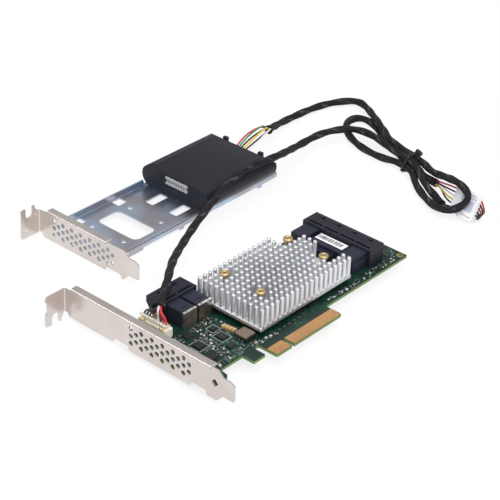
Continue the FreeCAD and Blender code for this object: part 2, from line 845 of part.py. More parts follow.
# those behind the upper ports, by their distance from the cages
PASSIVES += [(x, cage_rear - back, turned) for x, back, turned in (
    (20.0, 27.4, 0), (22.6, 27.4, 0), (25.2, 27.4, 0), (29.2, 28.7, 1), (29.2, 24.3, 1),
    (18.4, 12.3, 1), (28.4, 15.9, 0), (28.4, 13.9, 0), (28.6, 4.1, 0), (32.0, 3.3, 0),
    (35.4, 3.3, 0), (38.8, 3.3, 1), (22.0, 2.5, 0))]
# those beside the sink's far end, those along the board's far edge, and those at its end
PASSIVES += [(sink_end + 1.2, y, 1) for y in (20.0, 24.0, 28.0, 48.0, 52.0)]
PASSIVES += [(x, D.board_height - 3.3, 0) for x in (60.0, 66.0, 72.0, 84.6, 98.0, 112.0)]
PASSIVES += [(board_end - inset, y, 1) for inset, y in ((8.6, 20.0), (8.6, 26.0), (5.6, 40.0),
                                                        (10.0, 62.0))]

CAPACITORS = [(44.3, 36.1), (44.6, 34.0), (44.9, 31.9), (45.2, 29.8)]
INDUCTOR = (45.2, 22.4)


def make_small_parts():
    chips = []
    legs = []
    for x, y, length, width, height in CHIPS:
        chips.append(solid_box(x, y, board_top + 0.1, length, width, height - 0.1))
        count = int((length - 0.8) // 1.27)
        start = x + length / 2 - (count - 1) * 1.27 / 2
        for index in range(count):
            for side in (y - 0.8, y + width):
                legs.append(solid_box(start + index * 1.27 - 0.2, side, board_top, 0.4, 0.8,
                                      0.45))
    group("chips", chips)
    group("chip_legs", legs)
    passives = []
    for x, y, turned in PASSIVES:
        length, width = (0.8, 1.6) if turned else (1.6, 0.8)
        passives.append(solid_box(x - length / 2, y - width / 2, board_top, length, width, 0.6))
    group("small_components", passives)
    capacitors = []
    for x, y in CAPACITORS:
        capacitors.append(solid_box(x - 1.4, y - 0.8, board_top, 2.8, 1.6, 1.5))
    group("ceramic_capacitors", capacitors)
    x, y = INDUCTOR
    body = new_body("inductor")
    base = new_sketch(body, "inductor_outline", "XY_Plane", board_top)
    draw_rectangle(base, x - 3.3, y - 3.3, x + 3.3, y + 3.3, 0.8)
    core = body.newObject("PartDesign::Pad", "inductor_pad")
    core.Profile = base
    core.Length = 3.1
    base.Visibility = False
    body.Tip = core
    # two metal cans and a column of light blocks beside the far ports
    cans = [solid_box(sink_end + 1.0, 38.6, board_top, 3.4, 5.0, 1.4),
            solid_box(88.0, D.board_height - 5.3, board_top, 5.0, 3.2, 1.2)]
    group("oscillators", cans)


# ---------------------------------------------------------------- tray and its bracket

TRAY_PLACE = FreeCAD.Placement(V(D.tray_x, D.tray_y, D.table_level), FreeCAD.Rotation())
# windows through the tray's floor: low X, low Y, high X, high Y, corner radius
TRAY_WINDOWS = [
    (27.5, 29.4, 44.8, 60.8, 4.0), (18.1, 64.2, 23.1, 70.2, 0.8),
    (48.3, 63.6, 55.4, 70.2, 0.8), (62.6, 50.3, 75.7, 56.5, 1.0),
    (63.3, 32.0, 76.0, 38.3, 1.0),
]
TRAY_HOLES = [(21.4, 57.9), (51.2, 57.3), (52.3, 33.4), (22.3, 33.6)]
MODULE_SCREWS = [(84.6, 36.0), (84.6, 62.0), (130.6, 36.0), (130.6, 62.0)]


def make_tray_bracket():
    vents = vent_places(66.2, 14, D.tray_vent_pitch, 9.3)
    holes = [(-11.9, 13.0, 0.6), (-9.6, 6.0, 0.9), (-2.9, 14.4, 0.6)]
    body = make_slot_bracket("tray_bracket", 0.0, D.tray_strip_length,
                             [(13.0, 25.6, 2.2)], (24.6, D.tray_strip_length - 7.3), vents, -5.2, True, holes)
    body.Placement = TRAY_PLACE


def make_tray():
    body = new_body("tray")
    low = D.tray_low_edge
    high = low + D.tray_width
    floor = D.tray_floor_top
    sheet = D.tray_sheet
    start = D.sheet_thickness
    section = new_sketch(body, "tray_section", "YZ_Plane", start)
    draw_loop(section, [
        (low, 0.0), (low + sheet, 0.0), (low + sheet, floor - sheet, 0.5),
        (high, floor - sheet, 1.5), (high, floor + D.tray_wall_height),
        (high - sheet, floor + D.tray_wall_height), (high - sheet, floor, 0.5),
        (low, floor, 1.5),
    ])
    pad(body, section, "tray_pad", "tray_length - sheet_thickness")
    # openings through the floor
    windows = new_sketch(body, "tray_windows", "XY_Plane", floor + 0.2)
    for left, bottom, right, upper, radius in TRAY_WINDOWS:
        draw_rectangle(windows, left, bottom, right, upper, radius)
    for x, y in TRAY_HOLES:
        draw_circle(windows, x, y, 1.5)
    for x, y in MODULE_SCREWS:
        draw_circle(windows, x, y, 1.35)
    pocket(body, windows, "tray_window_pocket", "tray_sheet + 0.6")
    # the low flange starts past the bracket and its edge is stepped
    edge = new_sketch(body, "tray_edge", "XZ_Plane", -(low + sheet + 0.3))
    draw_loop(edge, [(0.0, -1.0), (18.8, -1.0), (18.8, floor - sheet - 0.4, 0.6),
                     (0.0, floor - sheet - 0.4)])
    for left, right, level in ((29.0, 60.0, 1.6), (62.5, 128.0, 1.6),
                               (130.5, D.tray_length + 1.0, 1.6)):
        draw_loop(edge, [(left, -1.0), (right, -1.0), (right - 0.8, level, 0.4),
                         (left + 0.8, level, 0.4)])
    cut_edge = body.newObject("PartDesign::Pocket", "tray_edge_pocket")
    cut_edge.Profile = edge
    cut_edge.Reversed = True
    cut_edge.Length = sheet + 0.6
    edge.Visibility = False
    body.Tip = cut_edge
    # the high wall is lowered beside the module, whose round side overhangs it
    dip = new_sketch(body, "tray_wall_dip", "XZ_Plane", -(high + 0.3))
    dip_start = D.module_start - 1.5
    dip_end = D.module_start + D.module_length + 1.5
    draw_loop(dip, [(dip_start, floor + 0.45, 0.3), (dip_end, floor + 0.45, 0.3),
                    (dip_end + 1.0, floor + D.tray_wall_height + 1.0),
                    (dip_start - 1.0, floor + D.tray_wall_height + 1.0)])
    dip_cut = body.newObject("PartDesign::Pocket", "tray_wall_pocket")
    dip_cut.Profile = dip
    dip_cut.Reversed = True
    dip_cut.Length = sheet + 0.6
    dip.Visibility = False
    body.Tip = dip_cut
    # the short tab by which the floor is welded to the strip of its bracket
    tab = new_sketch(body, "tray_weld_tab", "YZ_Plane", start)
    draw_loop(tab, [(low + 4.0, 0.6), (low + 40.0, 0.6), (low + 40.0, floor - 0.3),
                    (low + 4.0, floor - 0.3)])
    tab_pad = body.newObject("PartDesign::Pad", "tray_weld_tab_pad")
    tab_pad.Profile = tab
    tab_pad.Length = sheet
    tab.Visibility = False
    body.Tip = tab_pad
    body.Placement = TRAY_PLACE


def make_module_screws():
    screws = []
    for x, y in MODULE_SCREWS:
        under = D.tray_floor_top - D.tray_sheet
        head = Part.makeCylinder(2.4, 1.2, V(x, y, under - 1.2))
        shank = Part.makeCylinder(1.25, 4.2, V(x, y, under - 0.1))
        screw = head.fuse(shank).cut(solid_box(x - 1.3, y - 0.25, under - 1.3, 2.6, 0.5, 0.8))
        screw = screw.cut(solid_box(x - 0.25, y - 1.3, under - 1.3, 0.5, 2.6, 0.8))
        screw.Placement = TRAY_PLACE.multiply(screw.Placement)
        screws.append(screw)
    group("module_screws", screws)


# ---------------------------------------------------------------- backup module

def module_section(inset, low, high):
    """Half of the module's section in Y and Z between two levels, with its round side."""
    radius = D.module_height / 2
    centre_z = D.tray_floor_top + radius
    left = D.module_low_edge + radius
    right = D.module_low_edge + D.module_width - radius
    reach = radius - inset

    def side(sign, level, middle_y):
        drop = level - centre_z
        return V(middle_y + sign * math.sqrt(max(reach * reach - drop * drop, 0.0)), level, 0)

    middle_level = (low + high) / 2
    points = [side(-1, low, left), side(-1, middle_level, left), side(-1, high, left)]
    others = [side(1, high, right), side(1, middle_level, right), side(1, low, right)]
    edges = [Part.Arc(*points), Part.LineSegment(points[2], others[0]), Part.Arc(*others)]
    if (others[2] - points[0]).Length > 1e-6:
        edges.append(Part.LineSegment(others[2], points[0]))
    return edges


def make_module_half(label, low, high, hollow_low, hollow_high):
    """One half of the module's plastic case, open where it meets the other half."""
    body = new_body(label)
    outline = new_sketch(body, label + "_section", "YZ_Plane", D.module_start)
    outline.addGeometry(module_section(0.0, low, high), False)
    pad(body, outline, label + "_pad", "module_length")
    hollow = new_sketch(body, label + "_hollow", "YZ_Plane", D.module_start + D.module_wall)
    hollow.addGeometry(module_section(D.module_wall, hollow_low, hollow_high), False)
    room = body.newObject("PartDesign::Pocket", label + "_room")
    room.Profile = hollow
    room.Reversed = True
    bind(room, "Length", "module_length - module_wall - module_far_slope - 1.0")
    hollow.Visibility = False
    body.Tip = room
    return body


def make_module():
    bottom = D.tray_floor_top
    top = bottom + D.module_height
    split = bottom + D.module_height * 0.42
    wall = D.module_wall
    base = make_module_half("module_base", bottom, split, bottom + wall, split)
    bosses = new_sketch(base, "module_bosses", "XY_Plane", bottom + wall - 0.2)
    for x, y in MODULE_SCREWS:
        draw_circle(bosses, x, y, 2.3)
    boss_pad = base.newObject("PartDesign::Pad", "module_boss_pad")
    boss_pad.Profile = bosses
    boss_pad.Length = 2.6
    bosses.Visibility = False
    base.Tip = boss_pad
    pilot = new_sketch(base, "module_pilot_holes", "XY_Plane", bottom - 0.1)
    for x, y in MODULE_SCREWS:
        draw_circle(pilot, x, y, 1.3)
    pilot_cut = base.newObject("PartDesign::Pocket", "module_pilot_pocket")
    pilot_cut.Profile = pilot
    pilot_cut.Reversed = True
    pilot_cut.Length = 3.4
    pilot.Visibility = False
    base.Tip = pilot_cut
    base.Placement = TRAY_PLACE

    cover = make_module_half("module_cover", split, top, split, top - wall)
    # mouth for the socket in the near end and for the wires in the far end
    mouths = new_sketch(cover, "socket_mouth", "YZ_Plane", D.module_start - 0.1)
    draw_rectangle(mouths, SOCKET_LOW, SOCKET_LEVEL, SOCKET_LOW + SOCKET_WIDTH,
                   SOCKET_LEVEL + SOCKET_HEIGHT)
    mouth_cut = cover.newObject("PartDesign::Pocket", "socket_mouth_pocket")
    mouth_cut.Profile = mouths
    mouth_cut.Reversed = True
    mouth_cut.Length = wall + 0.2
    mouths.Visibility = False
    cover.Tip = mouth_cut
    far_end = D.module_start + D.module_length
    far_wall = D.module_far_slope + 1.0
    # the top slopes down to both ends, further at the far one
    slopes = new_sketch(cover, "module_slopes", "XZ_Plane", -(D.module_low_edge - 0.5))
    far_top = far_end - D.module_far_slope
    near_top = D.module_start + D.module_near_slope
    draw_loop(slopes, [(far_top, top), (far_end + 0.5, top - 4.5), (far_end + 0.5, top + 0.5),
                       (far_top, top + 0.5)])
    draw_loop(slopes, [(near_top, top), (near_top, top + 0.5), (D.module_start - 0.5, top + 0.5),
                       (D.module_start - 0.5, top - 1.5)])
    slope_cut = cover.newObject("PartDesign::Pocket", "module_slope_pocket")
    slope_cut.Profile = slopes
    slope_cut.Reversed = False
    slope_cut.Length = D.module_width + 1.0
    slopes.Visibility = False
    cover.Tip = slope_cut
    wires = new_sketch(cover, "wire_mouth", "YZ_Plane", far_end - far_wall - 0.1)
    draw_rectangle(wires, WIRE_MOUTH_LOW, WIRE_MOUTH_LEVEL, WIRE_MOUTH_LOW + WIRE_MOUTH_WIDTH,
                   WIRE_MOUTH_LEVEL + WIRE_MOUTH_HEIGHT, 0.8)
    wire_cut = cover.newObject("PartDesign::Pocket", "wire_mouth_pocket")
    wire_cut.Profile = wires
    wire_cut.Reversed = True
    wire_cut.Length = far_wall + 0.6
    wires.Visibility = False
    cover.Tip = wire_cut
    # two snap clips on the far end's top edge
    clips = new_sketch(cover, "module_clips", "XY_Plane", top - 4.2)
    for middle in (32.2, 60.2):
        draw_rectangle(clips, far_end - 3.6, middle - 1.6, far_end - 1.2, middle + 1.6, 0.3)
    clip_pad = cover.newObject("PartDesign::Pad", "module_clip_pad")
    clip_pad.Profile = clips
    clip_pad.Length = 4.1
    clips.Visibility = False
    cover.Tip = clip_pad
    cover.Placement = TRAY_PLACE
    make_module_inside(bottom + wall)


SOCKET_LOW = 37.0
SOCKET_WIDTH = 17.5
SOCKET_LEVEL = 12.0
SOCKET_HEIGHT = 4.8
SOCKET_DEPTH = 7.0
WIRE_MOUTH_LOW = 43.0
WIRE_MOUTH_WIDTH = 10.0
WIRE_MOUTH_LEVEL = 12.4
WIRE_MOUTH_HEIGHT = 3.0


def make_module_inside(floor):
    """Four round cells in a row, the board they feed, and the socket in the near end."""
    cells = []
    middle = D.module_low_edge + D.module_width / 2
    for index in range(3):
        y = middle + (index - 1) * (D.cell_dia + 0.2)
        start = D.module_start + 12.0
        level = floor + D.cell_dia / 2
        cell = Part.makeCylinder(D.cell_dia / 2, D.cell_length, V(start, y, level), V(1, 0, 0))
        cell.Placement = TRAY_PLACE.multiply(cell.Placement)
        cells.append(cell)
    group("capacitor_cells", cells)
    board = solid_box(D.module_start + 2.0, middle - 15.5, SOCKET_LEVEL - 1.0, 9.6, 31.0, 1.0)
    post = solid_box(D.module_start + 4.0, middle - 3.0, floor, 5.0, 6.0,
                     SOCKET_LEVEL - 1.0 - floor)
    board = board.fuse(post).removeSplitter()
    board.Placement = TRAY_PLACE.multiply(board.Placement)
    group("module_board", [board])
    socket = solid_box(D.module_start - 0.6, SOCKET_LOW + 0.1, SOCKET_LEVEL, SOCKET_DEPTH,
                       SOCKET_WIDTH - 0.2, SOCKET_HEIGHT - 0.1)
    for index in range(9):
        y = SOCKET_LOW + SOCKET_WIDTH / 2 + (index - 4) * D.wire_pitch
        way = solid_box(D.module_start - 1.0, y - 0.65, SOCKET_LEVEL + 1.2, 4.6, 1.3, 1.9)
        socket = socket.cut(way)
    socket.Placement = TRAY_PLACE.multiply(socket.Placement)
    group("module_socket", [socket])


# ---------------------------------------------------------------- cables

SLEEVE_EXTENSION = [
    (19.0, 58.3, 18.6), (33.2, 66.7, 22.4), (58.3, 86.9, 16.1), (80.2, 101.2, 9.5),
    (111.5, 117.4, 6.5), (146.9, 122.8, 18.9), (163.1, 123.5, 18.9), (186.0, 122.2, 17.8),
    (222.8, 136.2, 5.5), (247.0, 137.5, 5.2), (263.6, 129.8, 5.2), (269.0, 121.4, 4.6),
    (268.0, 108.6, 4.4), (261.9, 95.0, 5.2), (260.3, 87.1, 5.4), (257.5, 73.4, 5.4),
    (243.9, 54.5, 3.2), (241.5, 45.8, 0.4), (236.0, 35.6, 0.2),
]
SLEEVE_PIGTAIL = [
    (220.6, 158.3, 9.4), (234.6, 165.6, 3.9), (252.0, 170.3, 0.2), (272.1, 169.6, 0.2),
    (284.8, 167.6, 0.2), (296.0, 163.5, 0.2), (304.0, 156.0, 1.0), (302.5, 146.5, 2.4),
    (287.4, 125.5, 5.0), (275.9, 109.5, 5.8), (268.8, 99.6, 5.8), (264.9, 86.2, 5.62),
    (262.1, 72.4, 5.62), (252.7, 57.7, 7.0), (246.9, 43.0, 11.5), (236.6, 26.0, 18.5),
    (235.0, 17.2, 15.3), (232.4, 16.3, 10.7), (229.9, 20.9, 5.3), (226.8, 26.8, 3.0),
    (229.0, 36.5, 1.4), (235.2, 48.0, 0.2), (244.8, 62.1, 0.3), (255.1, 73.8, 1.25),
    (257.9, 87.6, 1.25), (255.4, 95.4, 0.3), (257.1, 112.7, 0.2), (263.6, 127.6, 0.2),
    (270.8, 136.4, 0.2), (279.0, 141.4, 0.2), (287.6, 140.6, 0.2), (290.0, 132.6, 0.2),
    (285.2, 122.6, 0.2), (277.8, 109.5, 0.2), (262.6, 86.6, 1.25), (259.8, 72.9, 1.25),
    (253.4, 61.6, 1.2), (250.4, 50.4, 2.6),
]


def tube(name, points, diameter):
    """A round cord along straight runs joined by tangent arcs; prints its tightest bend."""
    corners = [V(*point) for point in points]
    edges = []
    tightest = 1e9
    last = corners[0]
    for index in range(1, len(corners) - 1):
        here = corners[index]
        back = corners[index - 1] - here
        ahead = corners[index + 1] - here
        shorter = min(back.Length, ahead.Length)
        back.normalize()
        ahead.normalize()
        half = back.getAngle(ahead) / 2
        reach = 0.45 * shorter
        radius = reach * math.tan(half)
        bisector = (back + ahead).normalize()
        centre = here + bisector * (reach / math.cos(half))
        start = here + back * reach
        end = here + ahead * reach
        edges.append(Part.makeLine(last, start))
        edges.append(Part.Arc(start, centre - bisector * radius, end).toShape())
        tightest = min(tightest, radius)
        last = end
    edges.append(Part.makeLine(last, corners[-1]))
    wire = Part.Wire(edges)
    direction = corners[1] - corners[0]
    section = Part.Wire(Part.Circle(corners[0], direction, diameter / 2).toShape())
    solid = wire.makePipeShell([section], True, False)
    expected = math.pi * diameter * diameter / 4 * wire.Length
    print("%s: length %.1f, tightest bend %.1f, volume ratio %.4f"
          % (name, wire.Length, tightest, solid.Volume / expected))
    return solid


def gathered(sleeve_end, inward, places):
    """Points on a sleeve's end face where its wires come out.

    places gives each wire's steps across and up from the sleeve's middle, in millimetres.
    """
    inward = V(*inward).normalize()
    across = inward.cross(V(0, 0, 1)).normalize()
    upward = across.cross(inward)
    return [V(*sleeve_end) + across * a + upward * b for a, b in places]


def zigzag(count, step, swing, sideways):
    """Wires in one zigzag line, sideways or upright, so that neighbours don't touch."""
    places = []
    for index in range(count):
        along = (index - (count - 1) / 2) * step
        off = swing if index % 2 else -swing
        places.append((-along, off) if sideways else (off, along))
    return places


def make_cables():
    for label, points in (("sleeve_extension", SLEEVE_EXTENSION),
                          ("sleeve_pigtail", SLEEVE_PIGTAIL)):
        group(label, [tube(label, points, D.cable_dia)])


def make_cable_tie():
    """A strap round the four strands, and its square head with the strap's end through it."""
    middle = V(260.0, 80.0, 0.0)
    along = V(-0.2, -0.98, 0).normalize()
    across = V(0.98, -0.2, 0).normalize()
    inner = D.cable_dia / 2 + 0.06
    lowest = D.table_level + D.tie_thickness + inner
    corners = [(-3.55, lowest), (1.2, lowest), (3.6, 5.62), (-1.15, 5.42)]

    def hull(radius, start, length):
        place = middle + along * start
        count = len(corners)
        edges = []
        for index in range(count):
            s0, h0 = corners[index - 1]
            s1, h1 = corners[index]
            s2, h2 = corners[(index + 1) % count]
            out_a = V(h1 - h0, -(s1 - s0), 0).normalize()
            out_b = V(h2 - h1, -(s2 - s1), 0).normalize()
            mid = (out_a + out_b).normalize()

            def at(direction, s=s1, h=h1):
                return (place + across * (s + direction.x * radius)
                        + V(0, 0, h + direction.y * radius))
            edges.append(Part.Arc(at(out_a), at(mid), at(out_b)).toShape())
            target = (place + across * (s2 + out_b.x * radius)
                      + V(0, 0, h2 + out_b.y * radius))
            edges.append(Part.makeLine(at(out_b), target))
        return Part.Face(Part.Wire(edges)).extrude(along * length)

    half = D.tie_width / 2
    band = hull(inner + D.tie_thickness, -half, D.tie_width)
    band = band.cut(hull(inner, -half - 1, D.tie_width + 2))
    head = Part.makeBox(5.0, D.tie_width + 1.6, 3.0, V(-2.5, -D.tie_width / 2 - 0.8, 0))
    tail = Part.makeBox(1.2, D.tie_width - 0.8, 3.6, V(0.6, -D.tie_width / 2 + 0.4, 1.0))
    lean = math.radians(50)
    outward = across * math.cos(lean) + V(0, 0, math.sin(lean))
    turn = FreeCAD.Rotation(outward.cross(along) * -1, along * -1, outward, "ZYX")
    corner_s, corner_h = corners[2]
    place = middle + across * corner_s + V(0, 0, corner_h) + outward * (inner + 0.5)
    head_shape = head.fuse(tail)
    head_shape.Placement = FreeCAD.Placement(place, turn)
    group("cable_tie", [band.fuse(head_shape).removeSplitter()])


def make_header_wires():
    """Nine wires rise from the plug, lean together and enter the extension's sleeve."""
    start = V(*SLEEVE_EXTENSION[0])
    inward = V(*SLEEVE_EXTENSION[1]) - start
    inward.normalize()
    step = D.wire_dia * 1.05
    places = []
    for column in (1, 0, -1):
        levels = (1, 0, -1) if column >= 0 else (-1, 0, 1)
        places += [(column * step, level * step) for level in levels]
    ends = gathered(SLEEVE_EXTENSION[0], inward, places)
    wires = []
    for index, place in enumerate(header_wire_places()):
        foot = place - V(0, 0, 1.4)
        end = ends[index]
        rise = V(place.x, place.y, place.z + 2.4)
        turn = end - inward * 3.0
        wires.append(tube("header wire %d" % index, [foot, rise, turn, end], D.wire_dia))
    group("header_wires", wires)


def make_module_wires():
    """Six wires leave the module's far end and gather into the pigtail's sleeve."""
    step = D.wire_dia * 1.08
    places = []
    for column in (1, 0, -1):
        places += [(column * step, step / 2), (column * step, -step / 2)]
    inward = (V(*SLEEVE_PIGTAIL[1]) - V(*SLEEVE_PIGTAIL[0])).normalize()
    ends = gathered(SLEEVE_PIGTAIL[0], inward, places)
    face = D.tray_x + D.module_start + D.module_length
    wires = []
    for index, end in enumerate(ends):
        y = D.tray_y + WIRE_MOUTH_LOW + 1.4 + index * 1.42
        z = D.table_level + WIRE_MOUTH_LEVEL + 1.2
        wires.append(tube("module wire %d" % index,
                          [V(face - 4.0, y, z), V(face + 4.0, y, z), end - inward * 4.0, end],
                          D.wire_dia))
    group("module_wires", wires)


# the inline connector pair leans on its long lower edge; its own frame has X along the
# wires, Y up its broad face and Z out of that face
INLINE_LENGTH = 17.2
INLINE_WIDTH = 16.4
INLINE_DEPTH = 5.6
INLINE_LEAN = 62.0
INLINE_FIRST_WAY = 5.0
INLINE_PITCH = 2.3


def inline_placement():
    along = V(-0.085, -0.996, 0).normalize()
    level = V(0.996, -0.085, 0).normalize()
    lean = math.radians(INLINE_LEAN)
    up_face = level * math.cos(lean) + V(0, 0, 1) * math.sin(lean)
    out = V(0, 0, 1) * math.cos(lean) - level * math.sin(lean)
    lowest = D.table_level + INLINE_DEPTH * math.cos(lean)
    return FreeCAD.Placement(V(231.3, 28.3, lowest),
                             FreeCAD.Rotation(along, up_face, out, "XYZ"))


def make_inline_connector():
    place = inline_placement()
    joint = 9.4
    socket = solid_box(joint - 2.6, 0, -INLINE_DEPTH, INLINE_LENGTH - joint + 2.6,
                       INLINE_WIDTH, INLINE_DEPTH)
    socket = socket.cut(solid_box(joint - 3.0, 1.1, -INLINE_DEPTH + 1.1, 7.4,
                                  INLINE_WIDTH - 2.2, INLINE_DEPTH - 2.2))
    socket = socket.cut(solid_box(joint - 3.0, 5.4, -1.3, 4.6, 5.6, 2.0))
    plug = solid_box(0, 1.2, -INLINE_DEPTH + 1.2, joint + 3.2, INLINE_WIDTH - 2.4,
                     INLINE_DEPTH - 2.4)
    flange = solid_box(0, 0.5, -INLINE_DEPTH + 0.4, joint - 3.4, INLINE_WIDTH - 1.0,
                       INLINE_DEPTH - 0.8)
    latch = solid_box(joint - 5.6, 6.4, -1.3, 5.2, 3.6, 1.6)
    plug = plug.fuse(flange).fuse(latch).removeSplitter()
    for index in range(5):
        y = INLINE_FIRST_WAY + index * INLINE_PITCH
        hole = Part.makeCylinder(D.wire_dia / 2 + 0.06, 3.0, V(-0.5, y, -INLINE_DEPTH / 2),
                                 V(1, 0, 0))
        plug = plug.cut(hole)
        far = Part.makeCylinder(D.wire_dia / 2 + 0.06, 3.0,
                                V(INLINE_LENGTH - 2.5, y, -INLINE_DEPTH / 2), V(1, 0, 0))
        socket = socket.cut(far)
    for label, shape in (("inline_plug", plug), ("inline_socket", socket)):
        shape.Placement = place.multiply(shape.Placement)
        group(label, [shape])


def make_inline_wires():
    """Five wires from the pigtail to the plug, and five from the socket back underneath."""
    place = inline_placement()
    tail = V(*SLEEVE_PIGTAIL[-1])
    outward = tail - V(*SLEEVE_PIGTAIL[-2])
    outward.normalize()
    near = []
    ends = gathered(tail, outward, zigzag(5, 0.85, 0.5, False))
    for index in range(5):
        y = INLINE_FIRST_WAY + index * INLINE_PITCH
        entry = place.multVec(V(2.0, y, -INLINE_DEPTH / 2))
        before = place.multVec(V(-5.0, y, -INLINE_DEPTH / 2))
        leave = ends[index] + outward * 4.0
        near.append(tube("inline wire %d" % index, [ends[index], leave, before, entry],
                         D.wire_dia))
    group("inline_wires", near)
    far = []
    head = V(*SLEEVE_EXTENSION[-1])
    onward = head - V(*SLEEVE_EXTENSION[-2])
    onward.normalize()
    ends = gathered(head, onward, zigzag(5, 0.85, 0.5, True))
    for index in range(5):
        y = INLINE_FIRST_WAY + index * INLINE_PITCH
        depth = -INLINE_DEPTH / 2
        entry = place.multVec(V(INLINE_LENGTH - 2.0, y, depth))
        out = place.multVec(V(INLINE_LENGTH + 2.8, y, depth))
        floor = D.table_level + D.wire_dia / 2 + 0.05
        beside = 238.4 + index * 1.25
        behind = V(beside, out.y - 0.5, floor)
        passing = V(beside, 27.0, floor)
        leave = ends[index] + onward * 3.0
        far.append(tube("far wire %d" % index, [ends[index], leave, passing, behind, out, entry],
                        D.wire_dia))
    group("inline_far_wires", far)


# ---------------------------------------------------------------- everything

make_board()
make_edge_contacts()
make_card_bracket()
make_bracket_screws()
make_heatsink()
make_controller_chip()
make_memory_chips()
make_push_pins()
make_push_pin_springs()
make_top_ports()
make_end_ports()
make_power_header()
make_header_plug()
make_small_parts()
make_tray_bracket()
make_tray()
make_module_screws()
make_module()
make_cables()
make_cable_tie()
make_header_wires()
make_module_wires()
make_inline_connector()
make_inline_wires()

doc.recompute()

# the row's origin is the middle of the rigid parts' footprint on the surface they lie on
TO_ROW_FRAME = V(-(D.tray_x + D.tray_length - D.flange_reach) / 2,
                 -(D.tray_y + D.tray_strip_length - D.tongue_drop) / 2,
                 -D.table_level)
problems = []
for item in doc.Objects:
    if "Invalid" in item.State or "Error" in item.State:
        problems.append(item.Label + " has state " + ",".join(item.State))
triangles = 0
total = 0.0
for item in FINISHED:
    shape = item.Shape
    if shape.isNull() or not shape.isValid() or not shape.Solids:
        problems.append(item.Label + " has no valid solid")
        continue
    total += shape.Volume
    shape = shape.copy()
    shape.translate(TO_ROW_FRAME)
    shape.exportStep("parts/" + item.Label + ".step")
    mesh = shape.tessellate(0.1)
    triangles += len(mesh[1])
    box = shape.BoundBox
    print("%-22s %2d solids %9.1f mm3 %6d triangles  X %7.2f..%7.2f Y %7.2f..%7.2f Z %6.2f..%6.2f"
          % (item.Label, len(shape.Solids), shape.Volume, len(mesh[1]), box.XMin, box.XMax,
             box.YMin, box.YMax, box.ZMin, box.ZMax))
print("nodes", len(FINISHED), "volume", round(total, 1), "triangles", triangles)
if problems:
    raise RuntimeError("; ".join(problems))
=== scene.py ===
# %% [markdown]
# A storage controller card lies beside the backup module that is cabled to it. The CAD
# model is the fixed frame: its solids stay where they are, and the pieces below are made in
# their places, in metres. The cable tie and the sleeves' bends beside it are shifted from
# theirs, by less than 4 mm. First come the imports and the frame itself.

# %% Load the frame
import math

import bmesh
import bpy
import numpy as np
from mathutils import Matrix, Vector


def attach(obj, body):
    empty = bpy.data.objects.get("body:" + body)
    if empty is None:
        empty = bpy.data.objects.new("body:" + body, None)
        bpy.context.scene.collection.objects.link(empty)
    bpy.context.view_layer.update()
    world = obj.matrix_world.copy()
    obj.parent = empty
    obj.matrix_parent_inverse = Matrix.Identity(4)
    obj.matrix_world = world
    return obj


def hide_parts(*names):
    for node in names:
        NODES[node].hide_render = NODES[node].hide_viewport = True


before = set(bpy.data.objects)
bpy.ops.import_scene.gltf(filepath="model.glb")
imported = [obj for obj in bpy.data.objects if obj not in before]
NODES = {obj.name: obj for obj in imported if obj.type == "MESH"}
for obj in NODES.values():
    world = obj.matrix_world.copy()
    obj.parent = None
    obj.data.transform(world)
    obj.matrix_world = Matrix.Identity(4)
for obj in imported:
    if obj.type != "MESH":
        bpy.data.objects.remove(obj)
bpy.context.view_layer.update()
MM = 0.001
# the card's own corner frame, in which the parts were drawn, seen from the row's origin
CARD = np.array([-89.6, -85.1, 2.2])
BOARD_BOTTOM, BOARD_TOP = 3.4, 4.97
FLOOR_LEVEL = -2.2
# middles of the ports: four along the far end of the board, two along its top edge
END_ROW, TOP_ROW, FIRST_PORT, PORT_PITCH = 17.5, 25.5, 7.25, 11.25
END_PORTS = [END_ROW + FIRST_PORT + PORT_PITCH * port for port in range(4)]
TOP_PORTS = [TOP_ROW + FIRST_PORT + PORT_PITCH * port for port in range(2)]


def place(points):
    """Card millimetres to row metres: shift by the card frame's corner, then scale."""
    return (np.asarray(points, dtype=float) + CARD) * MM


def link(name, data):
    """A new object that holds the data, in the scene."""
    made = bpy.data.objects.new(name, data)
    bpy.context.collection.objects.link(made)
    return made


# %% [markdown]
# Shader maths reads best as arithmetic. A small class wraps a socket, so that a pattern is
# written as an expression, and one method makes any other node. Colours are given as sRGB
# numbers from 0 to 255, because that is how a paint or a plastic is matched by eye.

# %% Shader expressions


def srgb(red, green, blue):
    """A display colour as the linear colour that a shader wants."""
    return tuple((value / 255 / 12.92) if value <= 10 else ((value / 255 + 0.055) / 1.055) ** 2.4
                 for value in (red, green, blue)) + (1.0,)


class Wire:
    """A socket that takes part in arithmetic: each operator adds one Math node."""

    def __init__(self, tree, socket):
        self.tree = tree
        self.socket = socket

    def math(self, operation, *others):
        return self.tree.node("ShaderNodeMath", dict(operation=operation),
                              dict(enumerate((self,) + others)))

    def __add__(self, other):
        return self.math("ADD", other)

    def __sub__(self, other):
        return self.math("SUBTRACT", other)

    def __rsub__(self, other):
        return self.tree.node("ShaderNodeMath", dict(operation="SUBTRACT"), {0: other, 1: self})

    def __mul__(self, other):
        return self.math("MULTIPLY", other)

    __radd__ = __add__
    __rmul__ = __mul__

    def above(self, edge):
        """1 where this is over the edge, else 0."""
        return self.math("GREATER_THAN", edge)

    def between(self, low, high):
        """1 where this is over low and not over high, else 0."""
        return self.above(low) * (1 - self.above(high))

    def wave(self):
        return self.math("SINE")

    def ramp(self, low, high, to_low=0.0, to_high=1.0):
        """Smooth step from to_low at low to to_high at high."""
        return self.tree.node("ShaderNodeMapRange", dict(interpolation_type="SMOOTHSTEP"),
                              {0: self, 1: low, 2: high, 3: to_low, 4: to_high})


FINISHES = {}


